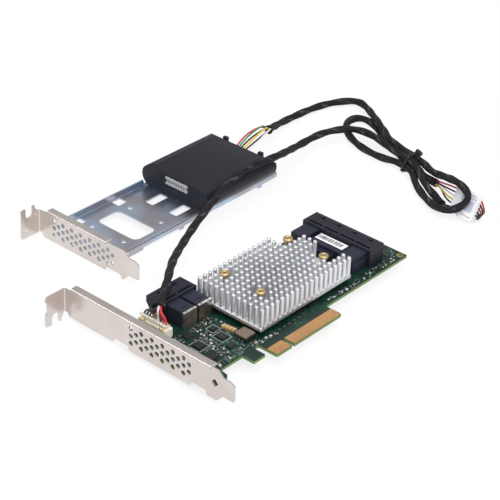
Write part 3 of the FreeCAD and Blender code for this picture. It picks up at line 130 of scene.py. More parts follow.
class Finish:
    """One material: makes nodes, and sets the values of its Principled shader."""

    def __init__(self, name):
        self.material = bpy.data.materials.new(name)
        FINISHES[name] = self.material
        self.material.use_nodes = True
        self.nodes = self.material.node_tree.nodes
        self.links = self.material.node_tree.links
        self.shader = self.nodes["Principled BSDF"]
        self.coordinates = None

    def node(self, kind, settings=None, inputs=None, output=0):
        made = self.nodes.new(kind)
        for name, value in (settings or {}).items():
            setattr(made, name, value)
        for name, value in (inputs or {}).items():
            self.put(made.inputs[name], value)
        return Wire(self, made.outputs[output])

    def put(self, socket, value):
        if isinstance(value, Wire):
            self.links.new(value.socket, socket)
        elif isinstance(value, tuple) and len(value) == 4 and socket.type == "VECTOR":
            socket.default_value = value[:3]
        else:
            socket.default_value = value

    def set(self, **values):
        for name, value in values.items():
            self.put(self.shader.inputs[name.replace("_", " ")], value)

    def at(self):
        """The piece's own coordinates, in metres."""
        if self.coordinates is None:
            self.coordinates = self.node("ShaderNodeTexCoord", output="Object")
        return self.coordinates

    def split(self, vector):
        """The three parts of a vector."""
        made = self.nodes.new("ShaderNodeSeparateXYZ")
        self.put(made.inputs[0], vector)
        return [Wire(self, output) for output in made.outputs]

    def axes(self):
        """X, Y and Z of the piece's coordinates, in millimetres."""
        return [part * 1000.0 for part in self.split(self.at())]

    def card_axes(self):
        """X, Y and Z in millimetres of the card's own frame."""
        return [axis - shift for axis, shift in zip(self.axes(), CARD.tolist())]

    def clouded(self, factor, first, second):
        """Two close tones, mixed by the middle of a noise."""
        return self.mix(factor.ramp(0.3, 0.7), first, second)

    def noise(self, size_mm, detail=3.0, stretch=None):
        """Noise whose blobs are about size_mm across, from 0 to 1."""
        where = self.at()
        if stretch:
            where = self.node("ShaderNodeMapping", None, {"Vector": where, "Scale": stretch})
        return self.node("ShaderNodeTexNoise", None,
                         {"Vector": where, "Scale": 1000.0 / size_mm, "Detail": detail,
                          "Roughness": 0.55})

    def mix(self, factor, first, second):
        """A colour that goes from first to second as factor goes from 0 to 1."""
        made = self.nodes.new("ShaderNodeMix")
        made.data_type = "RGBA"
        for index, value in ((0, factor), (6, first), (7, second)):
            self.put(made.inputs[index], value)
        return Wire(self, made.outputs[2])

    def bump(self, height, depth_mm, strength=1.0):
        self.set(Normal=self.node("ShaderNodeBump", None,
                                  {"Height": height, "Distance": depth_mm * MM,
                                   "Strength": strength}))


def darker(colour, share):
    """The colour with its three parts multiplied by the share."""
    return tuple(value * share for value in colour[:3]) + (1.0,)


def plain(name, colour, rough, grain=0.6, grain_depth=0.02, shade=0.12, **extra):
    """A finish without metal: fine grain in the surface and faint clouds in its colour."""
    finish = Finish(name)
    clouds = finish.noise(9.0)
    grains = finish.noise(grain, detail=2.0)
    finish.set(Base_Color=finish.clouded(clouds, darker(colour, 1.0 - shade), colour),
               Roughness=grains.ramp(0.25, 0.75, rough * 0.88, min(rough * 1.12, 1.0)),
               **extra)
    finish.bump(grains, grain_depth)


# %% [markdown]
# Metals first. The brackets are bright nickel over steel with faint rolling marks along the
# strip; the tray is zinc with the blue cast of its passivation. The sink is bare aluminium
# and the edge contacts are gold. Rolling marks are a noise stretched along one axis.

# %% Metals


def rolled(name, colour, rough, stretch, depth, stain=None):
    """Sheet metal: long thin scratches from a stretched noise, and faint stains."""
    finish = Finish(name)
    marks = finish.noise(1.2, detail=2.0, stretch=stretch)
    stains = finish.noise(26.0, detail=1.5)
    dark = stain or darker(colour, 0.88)
    finish.set(Base_Color=finish.mix(stains.ramp(0.35, 0.7), dark, colour), Metallic=1.0,
               Roughness=marks.ramp(0.2, 0.8, rough * 0.9, rough * 1.1))
    finish.bump(marks, depth, 0.5)


ALL_WAYS = (1.0, 1.0, 1.0)
rolled("nickel_plate", srgb(222, 213, 208), 0.24, (1.0, 0.06, 1.0), 0.0006)
rolled("zinc_plate", srgb(184, 204, 226), 0.30, (0.06, 1.0, 1.0), 0.0008, srgb(176, 172, 180))
rolled("sink_aluminium", srgb(236, 237, 240), 0.42, (1.0, 1.0, 0.15), 0.004)
rolled("gold_plate", srgb(222, 170, 116), 0.42, (1.0, 0.1, 1.0), 0.002)
for name, colour, rough in (
        ("inductor_metal", (146, 129, 116), 0.42), ("steel_wire", (170, 170, 172), 0.3),
        ("tinned_legs", (196, 196, 194), 0.35), ("brass_pins", (206, 182, 132), 0.44),
        ("screw_steel", (178, 178, 180), 0.32)):
    rolled(name, srgb(*colour), rough, ALL_WAYS, 0.01)

# %% [markdown]
# Plastics and ceramics are one recipe with different colours: a fine grain for the mould's
# face and a slow cloud in the tone. Most dark ones have a low specular level, so that they
# stay dark under the lamps.

# %% Plastics and ceramics
plain("port_plastic", srgb(34, 35, 45), 0.40, grain=0.5, Specular_IOR_Level=0.2)
plain("cage_plastic", srgb(37, 39, 53), 0.42, grain=0.5, Specular_IOR_Level=0.2)
plain("module_plastic", srgb(30, 30, 39), 0.38, grain=0.7, Specular_IOR_Level=0.22)
plain("cream_nylon", srgb(242, 234, 212), 0.45, Subsurface_Weight=0.08)
plain("white_nylon", srgb(226, 226, 226), 0.38, Subsurface_Weight=0.10)
plain("clear_nylon", srgb(222, 222, 226), 0.30, Subsurface_Weight=0.05)
plain("tie_nylon", srgb(22, 21, 23), 0.38, Specular_IOR_Level=0.35)
plain("chip_epoxy", srgb(27, 27, 29), 0.45, grain=0.35, Specular_IOR_Level=0.35)
# A near-black finish used as painted shade in the floors of slots and grooves.
plain("painted_slot_shade", srgb(9, 9, 11), 0.7, Specular_IOR_Level=0.1)
# The first colour below is a lighter copy of the dark plastics, used as painted highlight on
# rims, ridges and a bead.
for name, colour, rough in (
        ("bead_plastic", (66, 68, 78), 0.35), ("amber_nylon", (238, 212, 160), 0.45),
        ("smoke_nylon", (178, 184, 200), 0.30), ("grey_nylon", (176, 176, 178), 0.45),
        ("orange_ceramic", (186, 152, 112), 0.5), ("brown_ceramic", (84, 74, 66), 0.5),
        ("tan_ceramic", (176, 150, 122), 0.5), ("pale_ceramic", (206, 207, 204), 0.5),
        ("dark_resistor", (26, 27, 30), 0.4), ("silk_ink", (188, 200, 194), 0.6),
        ("thermal_paste", (168, 172, 178), 0.75), ("cell_sleeve", (52, 66, 110), 0.35)):
    plain(name, srgb(*colour), rough)
print("finishes:", len(FINISHES))

# %% [markdown]
# The cages of the upper ports wear a folded steel plate on the end that faces the board's
# foot. It wraps a millimetre and a half over the lid and has two dimples there. One material
# does both: the steel is wherever the card's Y is below the fold, its top is painted much
# lighter than its end face as painted light, and the dimples are near-black discs of painted
# shade at fixed places.

# %% Steel-ended cage finish
cage = Finish("cage_lid")
cage_x, cage_y, cage_z = cage.card_axes()
CAGE_FRONT, FOLD, DIMPLE_RADIUS = 48.9, 1.55, 0.45
steel = 1 - cage_y.above(CAGE_FRONT + FOLD)
# The dimples are near-black, non-metal discs: painted shade in their hollows.
dimple_shade = None
for middle in TOP_PORTS:
    for side in (-2.6, 2.6):
        off_x, off_y = cage_x - (middle + side), cage_y - (CAGE_FRONT + 0.75)
        disc = 1 - (off_x * off_x + off_y * off_y).above(DIMPLE_RADIUS ** 2)
        dimple_shade = disc if dimple_shade is None else dimple_shade.math("MAXIMUM", disc)
on_top = cage_z.above(14.6)
smear = cage.noise(3.0)
# Painted light: the same steel is painted darker on its end face and much lighter on top, where
# the lamps fall.
steel_end = cage.clouded(smear, srgb(150, 135, 124), srgb(190, 175, 163))
steel_with_lit_top = cage.mix(on_top, steel_end, srgb(222, 220, 218))
lid_tone = cage.mix(steel, srgb(37, 39, 53), steel_with_lit_top)
cage.set(Base_Color=cage.mix(dimple_shade * on_top, lid_tone, srgb(14, 13, 13)),
         Metallic=steel * (1 - dimple_shade * on_top), Roughness=steel * -0.06 + 0.44,
         Specular_IOR_Level=0.2)
cage.bump(smear, 0.02)

# %% [markdown]
# The paper label on the port row stays blank of words. It carries a plain band of dark bars
# of uneven width, and one row of dashes beneath it, so that it reads as a label.

# %% Label finish
label = Finish("label_print")
label_x, label_y = label.card_axes()[:2]
beat = (label_y * 7.3).wave() + (label_y * 11.9).wave() + (label_y * 3.1).wave() * 0.6
bars = beat.above(-0.45) * label_x.between(137.4, 140.6)
dashes = (label_y * 5.1).wave().above(0.1) * label_x.between(136.7, 137.1)
inside = label_y.between(33.8, 51.0)
fibre = label.noise(0.8)
paper = label.clouded(fibre, srgb(232, 232, 234), srgb(244, 244, 246))
label.set(Base_Color=label.mix((bars + dashes) * inside, paper, srgb(60, 60, 66)), Roughness=0.7)
label.bump(fibre, 0.01)

# %% [markdown]
# The camera comes before any shape, so that every look is taken from the same place. It stands
# about 950 mm from the row's origin, high on the bracket side, with a long lens that keeps
# the far bracket nearly as large as the near one. The matrix is built from three angles:
# azimuth, elevation and a small roll of the frame, which were solved for together with the
# place and the lens.

# %% Camera
AZIMUTH = math.radians(-49.847)
ELEVATION = math.radians(31.643)
ROLL = math.radians(2.436)

back = Vector((math.sin(AZIMUTH) * math.cos(ELEVATION),
               -math.cos(AZIMUTH) * math.cos(ELEVATION), math.sin(ELEVATION)))
level_right = Vector((math.cos(AZIMUTH), math.sin(AZIMUTH), 0.0))
level_up = back.cross(level_right)
right = level_right * math.cos(ROLL) + level_up * math.sin(ROLL)
up = level_up * math.cos(ROLL) - level_right * math.sin(ROLL)

lens = bpy.data.cameras.new("view_camera")
lens.sensor_width = 36.0
lens.lens = 123.44
camera = link("view_camera", lens)
camera.matrix_world = Matrix.Translation(Vector((-0.59890, -0.53154, 0.50724))) @ \
    Matrix((right, up, back)).transposed().to_4x4()
bpy.context.scene.camera = camera
bpy.context.scene.view_settings.view_transform = "Standard"
print("camera looks along", [round(-value, 3) for value in back])

# %% [markdown]
# A plain pale floor and soft studio light. The floor is seen as white, and bright metal must
# see it as white as well, so camera, glossy and transmission rays all meet the same pale
# surface. Two broad lamps and an even sky give shape without hard shadows; a narrow strip
# light puts the long glint on the bracket and the cables.

# %% Floor, sky and lamps
floor_mesh = bpy.data.meshes.new("studio_floor")
floor_mesh.from_pydata([(-6, -6, 0), (6, -6, 0), (6, 6, 0), (-6, 6, 0)], [], [(0, 1, 2, 3)])
studio_floor = link("studio_floor", floor_mesh)
studio_floor.location.z = -0.0004

floor_finish = Finish("studio_floor")
floor_finish.set(Base_Color=srgb(236, 236, 236), Roughness=0.9, Specular_IOR_Level=0.1)
rays = floor_finish.nodes.new("ShaderNodeLightPath")
by_eye, by_gloss, by_glass = [Wire(floor_finish, rays.outputs["Is %s Ray" % kind])
                              for kind in ("Camera", "Glossy", "Transmission")]
seen = by_eye.math("MAXIMUM", by_gloss.math("MAXIMUM", by_glass))
glow = floor_finish.node("ShaderNodeEmission", None, {"Color": (1, 1, 1, 1), "Strength": 1.0})
blend = floor_finish.node("ShaderNodeMixShader", None,
                          {0: seen * 0.82, 1: Wire(floor_finish, floor_finish.shader.outputs[0]),
                           2: glow})
floor_finish.links.new(blend.socket, floor_finish.nodes["Material Output"].inputs["Surface"])
floor_mesh.materials.append(floor_finish.material)

sky = bpy.data.worlds.new("studio_sky")
bpy.context.scene.world = sky
sky.use_nodes = True
backdrop = sky.node_tree.nodes["Background"]
backdrop.inputs["Color"].default_value = (1.0, 1.0, 1.0, 1.0)
backdrop.inputs["Strength"].default_value = 0.56


def lamp(name, middle, aim, wide, tall, watts):
    """A soft rectangular lamp at middle, turned to face aim."""
    light = bpy.data.lights.new(name, "AREA")
    light.shape = "RECTANGLE"
    light.size, light.size_y, light.energy = wide, tall, watts
    holder = link(name, light)
    facing = (Vector(aim) - Vector(middle)).to_track_quat("-Z", "Y")
    holder.matrix_world = Matrix.Translation(Vector(middle)) @ facing.to_matrix().to_4x4()


lamp("key_lamp", (-0.35, -0.75, 1.05), (0.05, 0.0, 0.0), 0.9, 0.9, 13.0)
lamp("top_lamp", (0.1, 0.0, 1.35), (0.05, 0.0, 0.0), 1.1, 1.1, 7.0)
lamp("strip_lamp", (-0.9, 0.35, 0.45), (0.0, 0.0, 0.0), 0.9, 0.18, 2.0)
print("lamps:", [one.name for one in bpy.data.lights])

# %% [markdown]
# Cables next, because they decide how far the part spreads. Each route is a list of points,
# set where it bends, in millimetres of the card's frame. Nearly a third of the points stand
# as a measuring script printed them, and the others match none of the values that it
# printed. The CAD tubes follow the same points, apart from nine beside the tie,
# which are moved here by 2.0 to 3.6 mm. They become the control points of one smooth curve;
# the sleeve is then a tube of numpy rings carried along that curve.

# %% Routes of the sleeves
SLEEVE_EXTENSION = [
    (19.0, 58.3, 18.6), (33.2, 66.7, 22.4), (58.3, 86.9, 16.1), (80.2, 101.2, 9.5),
    (111.5, 117.4, 6.5), (146.9, 122.8, 18.9), (163.1, 123.5, 18.9), (186.0, 122.2, 17.8),
    (222.8, 136.2, 5.5), (247.0, 137.5, 5.2), (263.6, 129.8, 5.2), (269.0, 121.4, 4.6),
    (268.0, 108.6, 4.4), (261.9, 95.0, 5.2), (259.7, 84.1, 5.4), (256.8, 69.9, 5.4),
    (243.9, 54.5, 3.2), (241.5, 45.8, 0.4), (236.0, 35.6, 0.2)]
SLEEVE_PIGTAIL = [
    (220.6, 158.3, 9.4), (234.6, 165.6, 3.9), (252.0, 170.3, 0.2), (272.1, 169.6, 0.2),
    (284.8, 167.6, 0.2), (296.0, 163.5, 0.2), (304.0, 156.0, 1.0), (302.5, 146.5, 2.4),
    (287.4, 125.5, 5.0), (275.9, 109.5, 5.8), (268.8, 99.6, 5.8), (264.3, 83.2, 5.62),
    (261.4, 68.9, 5.62), (252.7, 55.7, 7.0), (246.9, 43.0, 11.5), (236.6, 26.0, 18.5),
    (235.0, 17.2, 15.3), (232.4, 16.3, 10.7), (229.9, 20.9, 5.3), (226.8, 26.8, 3.0),
    (229.0, 36.5, 1.4), (235.2, 48.0, 0.2), (244.8, 62.1, 0.3), (254.4, 70.3, 1.25),
    (257.3, 84.6, 1.25), (255.4, 95.4, 0.3), (257.1, 112.7, 0.2), (263.6, 127.6, 0.2),
    (270.8, 136.4, 0.2), (279.0, 141.4, 0.2), (287.6, 140.6, 0.2), (290.0, 132.6, 0.2),
    (285.2, 122.6, 0.2), (277.8, 109.5, 0.2), (262.0, 83.6, 1.25), (259.1, 69.4, 1.25),
    (253.4, 61.6, 1.2), (250.4, 50.4, 2.6)]
SLEEVE_DIA = 4.6
WIRE_DIA = 1.1


def smooth_route(name, points):
    """Points of the NURBS spline that has the given control points, in metres."""
    curve = bpy.data.curves.new(name + "_route", "CURVE")
    curve.dimensions = "3D"
    curve.resolution_u = 10
    spline = curve.splines.new("NURBS")
    spline.points.add(len(points) - 1)
    flat = np.column_stack([place(points), np.ones(len(points))]).ravel()
    spline.points.foreach_set("co", flat)
    spline.order_u = 3
    spline.use_endpoint_u = True
    holder = bpy.data.objects.new(name + "_route", curve)
    line = bpy.data.meshes.new_from_object(holder)
    path = np.empty(len(line.vertices) * 3)
    line.vertices.foreach_get("co", path)
    bpy.data.objects.remove(holder)
    bpy.data.curves.remove(curve)
    bpy.data.meshes.remove(line)
    return path.reshape(-1, 3)


def run_length(path):
    """Distance along the path at each of its points, in metres."""
    return np.concatenate([[0.0], np.cumsum(np.linalg.norm(np.diff(path, axis=0), axis=1))])


def even(path, step):
    """The same line with its points a fixed step apart."""
    at = run_length(path)
    count = max(int(round(at[-1] / step)), 4) + 1
    wanted = np.linspace(0.0, at[-1], count)
    return np.column_stack([np.interp(wanted, at, path[:, axis]) for axis in range(3)])


for which, points in (("extension", SLEEVE_EXTENSION), ("pigtail", SLEEVE_PIGTAIL)):
    print(which, "length in mm:", round(run_length(smooth_route(which, points))[-1] / MM, 1))

# %% [markdown]
# A tube needs a frame at every ring that doesn't spin. Carrying the last ring's side vector
# forward, and taking out what lies along the new direction, gives one: the loop runs over
# the few hundred rings, and never over vertices.

# %% Tubes along a line


def carried_frame(path):
    """Tangent, side and top at each point: the side is carried on and kept square."""
    tangent = np.gradient(path, axis=0)
    tangent /= np.linalg.norm(tangent, axis=1)[:, None]
    side = np.empty_like(tangent)
    start = np.cross(tangent[0], (0.0, 0.0, 1.0))
    if np.linalg.norm(start) < 0.2:
        start = np.cross(tangent[0], (1.0, 0.0, 0.0))
    side[0] = start / np.linalg.norm(start)
    for index in range(1, len(path)):
        carried = side[index - 1] - tangent[index] * np.dot(side[index - 1], tangent[index])
        side[index] = carried / np.linalg.norm(carried)
    return tangent, side, np.cross(side, tangent)


def skin(rings, around):
    """Quads between neighbouring rings of points, and all faces with the two caps."""
    index = np.arange(rings * around).reshape(rings, around)
    turn = np.roll(index, -1, axis=1)
    quads = np.stack([index[:-1], turn[:-1], turn[1:], index[1:]], axis=-1).reshape(-1, 4)
    return quads, quads.tolist() + [index[0, ::-1].tolist(), index[-1].tolist()]


def grid_mesh(name, points, around, uv, finish):
    """A tube's rings of points as a mesh, with the given distance along it as its U."""
    quads, faces = skin(len(points) // around, around)
    mesh = bpy.data.meshes.new(name)
    mesh.from_pydata(points.tolist(), [], faces)
    if uv is not None:
        layer = mesh.uv_layers.new(name="along")
        ring, spoke = np.divmod(quads, around)
        step = np.tile([0, 1, 1, 0], (len(quads), 1))
        spoke = spoke[:, :1] + step
        coords = np.stack([uv[ring], spoke / around], axis=-1).reshape(-1, 2)
        rest = len(mesh.loops) - len(coords)
        coords = np.vstack([coords, np.zeros((rest, 2))])
        layer.data.foreach_set("uv", coords.ravel())
    mesh.polygons.foreach_set("use_smooth", [True] * len(quads) + [False, False])
    mesh.materials.append(FINISHES[finish])
    made = link(name, mesh)
    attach(made, "root")
    return made


def tube(name, path, radius, around, finish, mapped=False):
    """A ring of the given radius carried along the path: p = path + r (cos t side + sin t top).

    radius is one number or an array with a row for each ring and a column for each spoke.
    """
    tangent, side, top = carried_frame(path)
    angle = np.linspace(0, 2 * math.pi, around, endpoint=False)
    reach = np.broadcast_to(radius, (len(path), around))[..., None]
    spokes = np.cos(angle)[None, :, None] * side[:, None] \
        + np.sin(angle)[None, :, None] * top[:, None]
    points = (path[:, None] + reach * spokes).reshape(-1, 3)
    uv = run_length(path) / MM if mapped else None
    return grid_mesh(name, points, around, uv, finish)


print("tube helper ready")

# %% [markdown]
# The sleeve is woven from dark yarn. Seen close, it is a diagonal basket: two sets of
# helical strands that pass over and under each other. The strands are a product of sines on
# the sleeve's own UV map, so the weave follows every bend. Where a strand passes under, the
# yarn is painted darker as painted shade, and pale streaks along a slow helical ridge are
# painted highlights. The sleeve itself is also a little lumpy, where the wires inside cross,
# and it opens out where they leave it.

# %% Woven sleeve finish
sleeve = Finish("woven_sleeve")
uv_map = sleeve.node("ShaderNodeUVMap", dict(uv_map="along"))
along, round_it = sleeve.split(uv_map)[:2]
TURN = 2 * math.pi
left_lay = (along * (TURN / 2.1) + round_it * (TURN * 7)).wave()
right_lay = (along * (TURN / 2.1) - round_it * (TURN * 7)).wave()
basket = (left_lay * right_lay) * 0.5 + 0.5
ridge = (along * (1 / 2.6) + round_it * (TURN * 2)).wave() * 0.5 + 0.5
yarn = (along * (TURN / 0.42) + round_it * (TURN * 24)).wave() * 0.5 + 0.5
worn = sleeve.noise(6.0)
# Painted highlights: pale streaks where the slow helical ridge peaks, in patches.
ridge_highlight = sleeve.noise(5.0).ramp(0.4, 0.62) * ridge.ramp(0.72, 0.98)
# Painted shade: the strands that pass under are a darker copy of the same yarn.
shaded_under = sleeve.clouded(worn, srgb(12, 10, 13), srgb(18, 16, 19))
over = sleeve.clouded(worn, srgb(32, 28, 32), srgb(44, 39, 44))
woven = sleeve.mix(basket.ramp(0.15, 0.85), shaded_under, over)
sleeve.set(Base_Color=sleeve.mix(ridge_highlight * 0.8, woven, srgb(76, 71, 78)),
           Roughness=basket.ramp(0.0, 1.0, 0.85, 0.55), Specular_IOR_Level=0.2)
sleeve.bump(basket * 0.8 + yarn * 0.2, 0.22)

# %% Woven sleeves


def lumps(path, around, base, seed, flare_start, flare_end):
    """Radius at each ring and spoke: base, plus slow swells along it and a faint twist.

    The swell is a sum of three sines with unrelated periods. At an end that opens out, the
    radius grows by flare times the square of the share of the last few millimetres.
    """
    at = run_length(path)[:, None] / MM
    angle = np.linspace(0, 2 * math.pi, around, endpoint=False)[None, :]
    swell = 0.45 * np.sin(at / 7.3 + seed) + 0.35 * np.sin(at / 4.1 + 2.2 * seed) \
        + 0.2 * np.sin(at / 2.3 + 0.7 * seed)
    twist = np.cos(2 * angle + at / 2.6 + seed)
    left = np.clip(1 - at / 9.0, 0, 1) ** 2
    rest = np.clip(1 - (at[-1] - at) / 7.0, 0, 1) ** 2
    return (base + 0.07 * swell + 0.17 * twist + flare_start * left + flare_end * rest) * MM


extension_path = even(smooth_route("extension", SLEEVE_EXTENSION), 0.7 * MM)
pigtail_path = even(smooth_route("pigtail", SLEEVE_PIGTAIL), 0.7 * MM)
SPOKES, MEAN_RADIUS = 28, 2.2
sleeve_extension = tube("woven_sleeve_extension", extension_path,
                        lumps(extension_path, SPOKES, MEAN_RADIUS, 0.4, 1.3, 0.3), SPOKES,
                        "woven_sleeve", True)
sleeve_pigtail = tube("woven_sleeve_pigtail", pigtail_path,
                      lumps(pigtail_path, SPOKES, MEAN_RADIUS, 1.9, 0.5, 0.3), SPOKES,
                      "woven_sleeve", True)
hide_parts("sleeve_extension")
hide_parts("sleeve_pigtail")
print("sleeve triangles:", [2 * len(one.data.polygons) for one in (sleeve_extension,
                                                                    sleeve_pigtail)])

# %% [markdown]
# Single wires come out of the sleeves in colours: nine from the board's plug, six from the
# module, five on each side of the inline connector. Each is a thin tube on its own smooth
# curve, and each list of colours runs along its connector. The insulation is soft plastic
# with a little gloss, so it gets one plain recipe. Neighbours bend close and share up to
# 0.4 mm in places.

# %% Insulation colours
for name, colour in (("black", (34, 34, 38)), ("tan", (168, 122, 84)),
                     ("white", (232, 230, 224)), ("navy", (44, 52, 92)),
                     ("red", (206, 44, 42)), ("yellow", (226, 190, 70)),
                     ("green", (48, 132, 84)), ("maroon", (122, 40, 48))):
    plain("wire_" + name, srgb(*colour), 0.38, grain=0.8, grain_depth=0.01, shade=0.2)


def unit(vector):
    vector = np.asarray(vector, dtype=float)
    return vector / np.linalg.norm(vector)


def gathered(sleeve_end, inward, places):
    """Points on a sleeve's end face: steps across it and up from its middle."""
    inward = unit(inward)
    across = unit(np.cross(inward, (0.0, 0.0, 1.0)))
    upward = np.cross(across, inward)
    return [np.array(sleeve_end) + across * a + upward * b for a, b in places]


def zigzag(count, step, swing, sideways):
    """Places in one zigzag line, sideways or upright, clear of each other on the end face."""
    line = [((i - (count - 1) / 2) * step, swing if i % 2 else -swing) for i in range(count)]
    return [(-along, off) if sideways else (off, along) for along, off in line]


def wires(name, node, routes, colours):
    """A thin tube along every route, each a piece of its own that stands for the node."""
    for index, (points, colour) in enumerate(zip(routes, colours)):
        path = even(smooth_route(name, points), 0.5 * MM)
        piece = tube("%s_%d" % (name, index + 1), path, WIRE_DIA / 2 * MM, 12, "wire_" + colour)
        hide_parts(node)
    print(name, "made:", len(routes))


# %% Wires of the power header
HEADER_START, HEADER_WIDTH, HEADER_FAR_EDGE, HEADER_LENGTH = 14.3, 5.5, 68.7, 19.4
HEADER_MIDDLE = (HEADER_START + HEADER_WIDTH / 2, HEADER_FAR_EDGE - HEADER_LENGTH / 2)
HEADER_HEIGHT, PLUG_RISE, WAY_PITCH = 5.4, 2.0, 2.0
HEADER_WIRE_TOP = BOARD_TOP + HEADER_HEIGHT + PLUG_RISE
inward = unit(np.subtract(SLEEVE_EXTENSION[1], SLEEVE_EXTENSION[0]))
step = WIRE_DIA * 1.05
bundle = []
for column in (1, 0, -1):
    levels = (1, 0, -1) if column >= 0 else (-1, 0, 1)
    bundle += [(column * step, level * step) for level in levels]
header_routes = []
for index, end in enumerate(gathered(SLEEVE_EXTENSION[0], inward, bundle)):
    foot = np.array([HEADER_MIDDLE[0], HEADER_MIDDLE[1] + (index - 4) * WAY_PITCH,
                     HEADER_WIRE_TOP])
    header_routes.append([foot - (0, 0, 1.4), foot + (0, 0, 2.4), end - inward * 3.0, end,
                          end + inward * 2.5])
wires("header_wire", "header_wires", header_routes,
      ["red", "red", "navy", "white", "tan", "tan", "black", "black", "black"])

# %% Wires of the backup module
inward = unit(np.subtract(SLEEVE_PIGTAIL[1], SLEEVE_PIGTAIL[0]))
step = WIRE_DIA * 1.08
bundle = [(column * step, half * step / 2) for column in (1, 0, -1) for half in (1, -1)]
TRAY_X, TRAY_Y, MODULE_START, MODULE_LENGTH = 48.1, 101.8, 78.0, 61.0
MODULE_FACE = TRAY_X + MODULE_START + MODULE_LENGTH
MOUTH_LOW, MOUTH_LEVEL, MOUTH_PITCH = 43.0, 12.4, 1.42
module_routes = []
for index, end in enumerate(gathered(SLEEVE_PIGTAIL[0], inward, bundle)):
    across = TRAY_Y + MOUTH_LOW + 1.4 + index * MOUTH_PITCH
    height = FLOOR_LEVEL + MOUTH_LEVEL + 1.2
    module_routes.append([(MODULE_FACE - 4.0, across, height),
                          (MODULE_FACE + 5.0, across + 0.4 * index, height + 1.0 + 0.8 * index),
                          end - inward * 6.0 + (0, 0.5 * index, 0.7 * index), end - inward,
                          end + inward * 2.5])
wires("module_wire", "module_wires", module_routes,
      ["white", "black", "yellow", "black", "green", "red"])

# %% [markdown]
# The inline connector pair leans on its long edge, so its wires are placed in its own frame:
# X along the wires, Y up the broad face and Z out of that face.

# %% Wires of the inline connector
INLINE_LEAN = math.radians(62.0)
INLINE_DEPTH, INLINE_LENGTH = 5.6, 17.2
inline_x = unit((-0.085, -0.996, 0))
inline_level = unit((0.996, -0.085, 0))
inline_y = inline_level * math.cos(INLINE_LEAN) + np.array((0, 0, 1)) * math.sin(INLINE_LEAN)
inline_z = np.array((0, 0, 1)) * math.cos(INLINE_LEAN) - inline_level * math.sin(INLINE_LEAN)
inline_corner = np.array((231.1, 28.3, FLOOR_LEVEL + INLINE_DEPTH * math.cos(INLINE_LEAN)))


def on_inline(x, y, z):
    return inline_corner + inline_x * x + inline_y * y + inline_z * z


WAYS, FIRST_WAY, INLINE_PITCH = 5, 5.0, 2.3
way_places = [FIRST_WAY + index * INLINE_PITCH for index in range(WAYS)]
tail = np.array(SLEEVE_PIGTAIL[-1])
outward = unit(tail - SLEEVE_PIGTAIL[-2])
near_routes = []
for way, end in zip(way_places, gathered(tail, outward, zigzag(WAYS, 0.85, 0.5, False))):
    near_routes.append([end - outward * 2.5, end, end + outward * 4.0,
                        on_inline(-5.0, way, -INLINE_DEPTH / 2),
                        on_inline(2.0, way, -INLINE_DEPTH / 2)])
wires("inline_wire", "inline_wires", near_routes, ["black", "yellow", "white", "navy", "red"])

head = np.array(SLEEVE_EXTENSION[-1])
onward = unit(head - SLEEVE_EXTENSION[-2])
BESIDE_X, BESIDE_PITCH, PASSING_Y = 238.4, 1.25, 27.0
far_routes = []
for index, end in enumerate(gathered(head, onward, zigzag(WAYS, 0.85, 0.5, True))):
    way = way_places[index]
    out = on_inline(INLINE_LENGTH + 0.9, way, -INLINE_DEPTH / 2)
    beside, low = BESIDE_X + index * BESIDE_PITCH, FLOOR_LEVEL + WIRE_DIA / 2 + 0.05
    far_routes.append([end - onward * 2.5, end, end + onward * 3.0, (beside, PASSING_Y, low),
                       (beside, out[1] - 0.5, low), out,
                       on_inline(INLINE_LENGTH - 2.0, way, -INLINE_DEPTH / 2)])
wires("inline_far_wire", "inline_far_wires", far_routes,
      ["black", "black", "maroon", "black", "red"])

# %% [markdown]
# Everything that isn't a tube is made from closed loops of points, laid one over the other
# and skinned: a pin is a stack of circles, a plate is a stack of rounded rectangles. One
# class gathers many such stacks into one mesh, so that nearly two hundred pins are still a
# single piece with its own finishes.

# %% Stacks of loops


def circle(middle, radius, level, around=12):
    """Points at angle t: middle + radius (cos t, sin t), all at one level."""
    angle = np.linspace(0, 2 * math.pi, around, endpoint=False) + math.pi / around
    return np.column_stack([middle[0] + radius * np.cos(angle),
                            middle[1] + radius * np.sin(angle), np.full(around, level)])


def rounded(low, high, level, radius, inset=0.0, arc=3):
    """A rectangle from low to high whose corners are quarter circles, shrunk by inset."""
    radius = max(radius - inset, 0.02)
    corners = [(high[0], high[1], 0), (low[0], high[1], 90), (low[0], low[1], 180),
               (high[0], low[1], 270)]
    points = []
    for x, y, start in corners:
        turn = np.radians(start + np.linspace(0, 90, arc + 1))
        out = np.array([math.copysign(1, x - (low[0] + high[0]) / 2),
                        math.copysign(1, y - (low[1] + high[1]) / 2)])
        centre = np.array([x, y]) - out * (inset + radius)
        points.append(np.column_stack([centre[0] + radius * np.cos(turn),
                                       centre[1] + radius * np.sin(turn),
                                       np.full(arc + 1, level)]))
    return np.vstack(points)


def pillow(low, high, bottom, top, edge, foot):
    """Four loops of a block with round corners, shrunk by foot below and by edge on top."""
    return [rounded(low, high, bottom, 0.5, foot), rounded(low, high, bottom + edge, 0.5),
            rounded(low, high, top - edge, 0.5), rounded(low, high, top, 0.5, edge)]


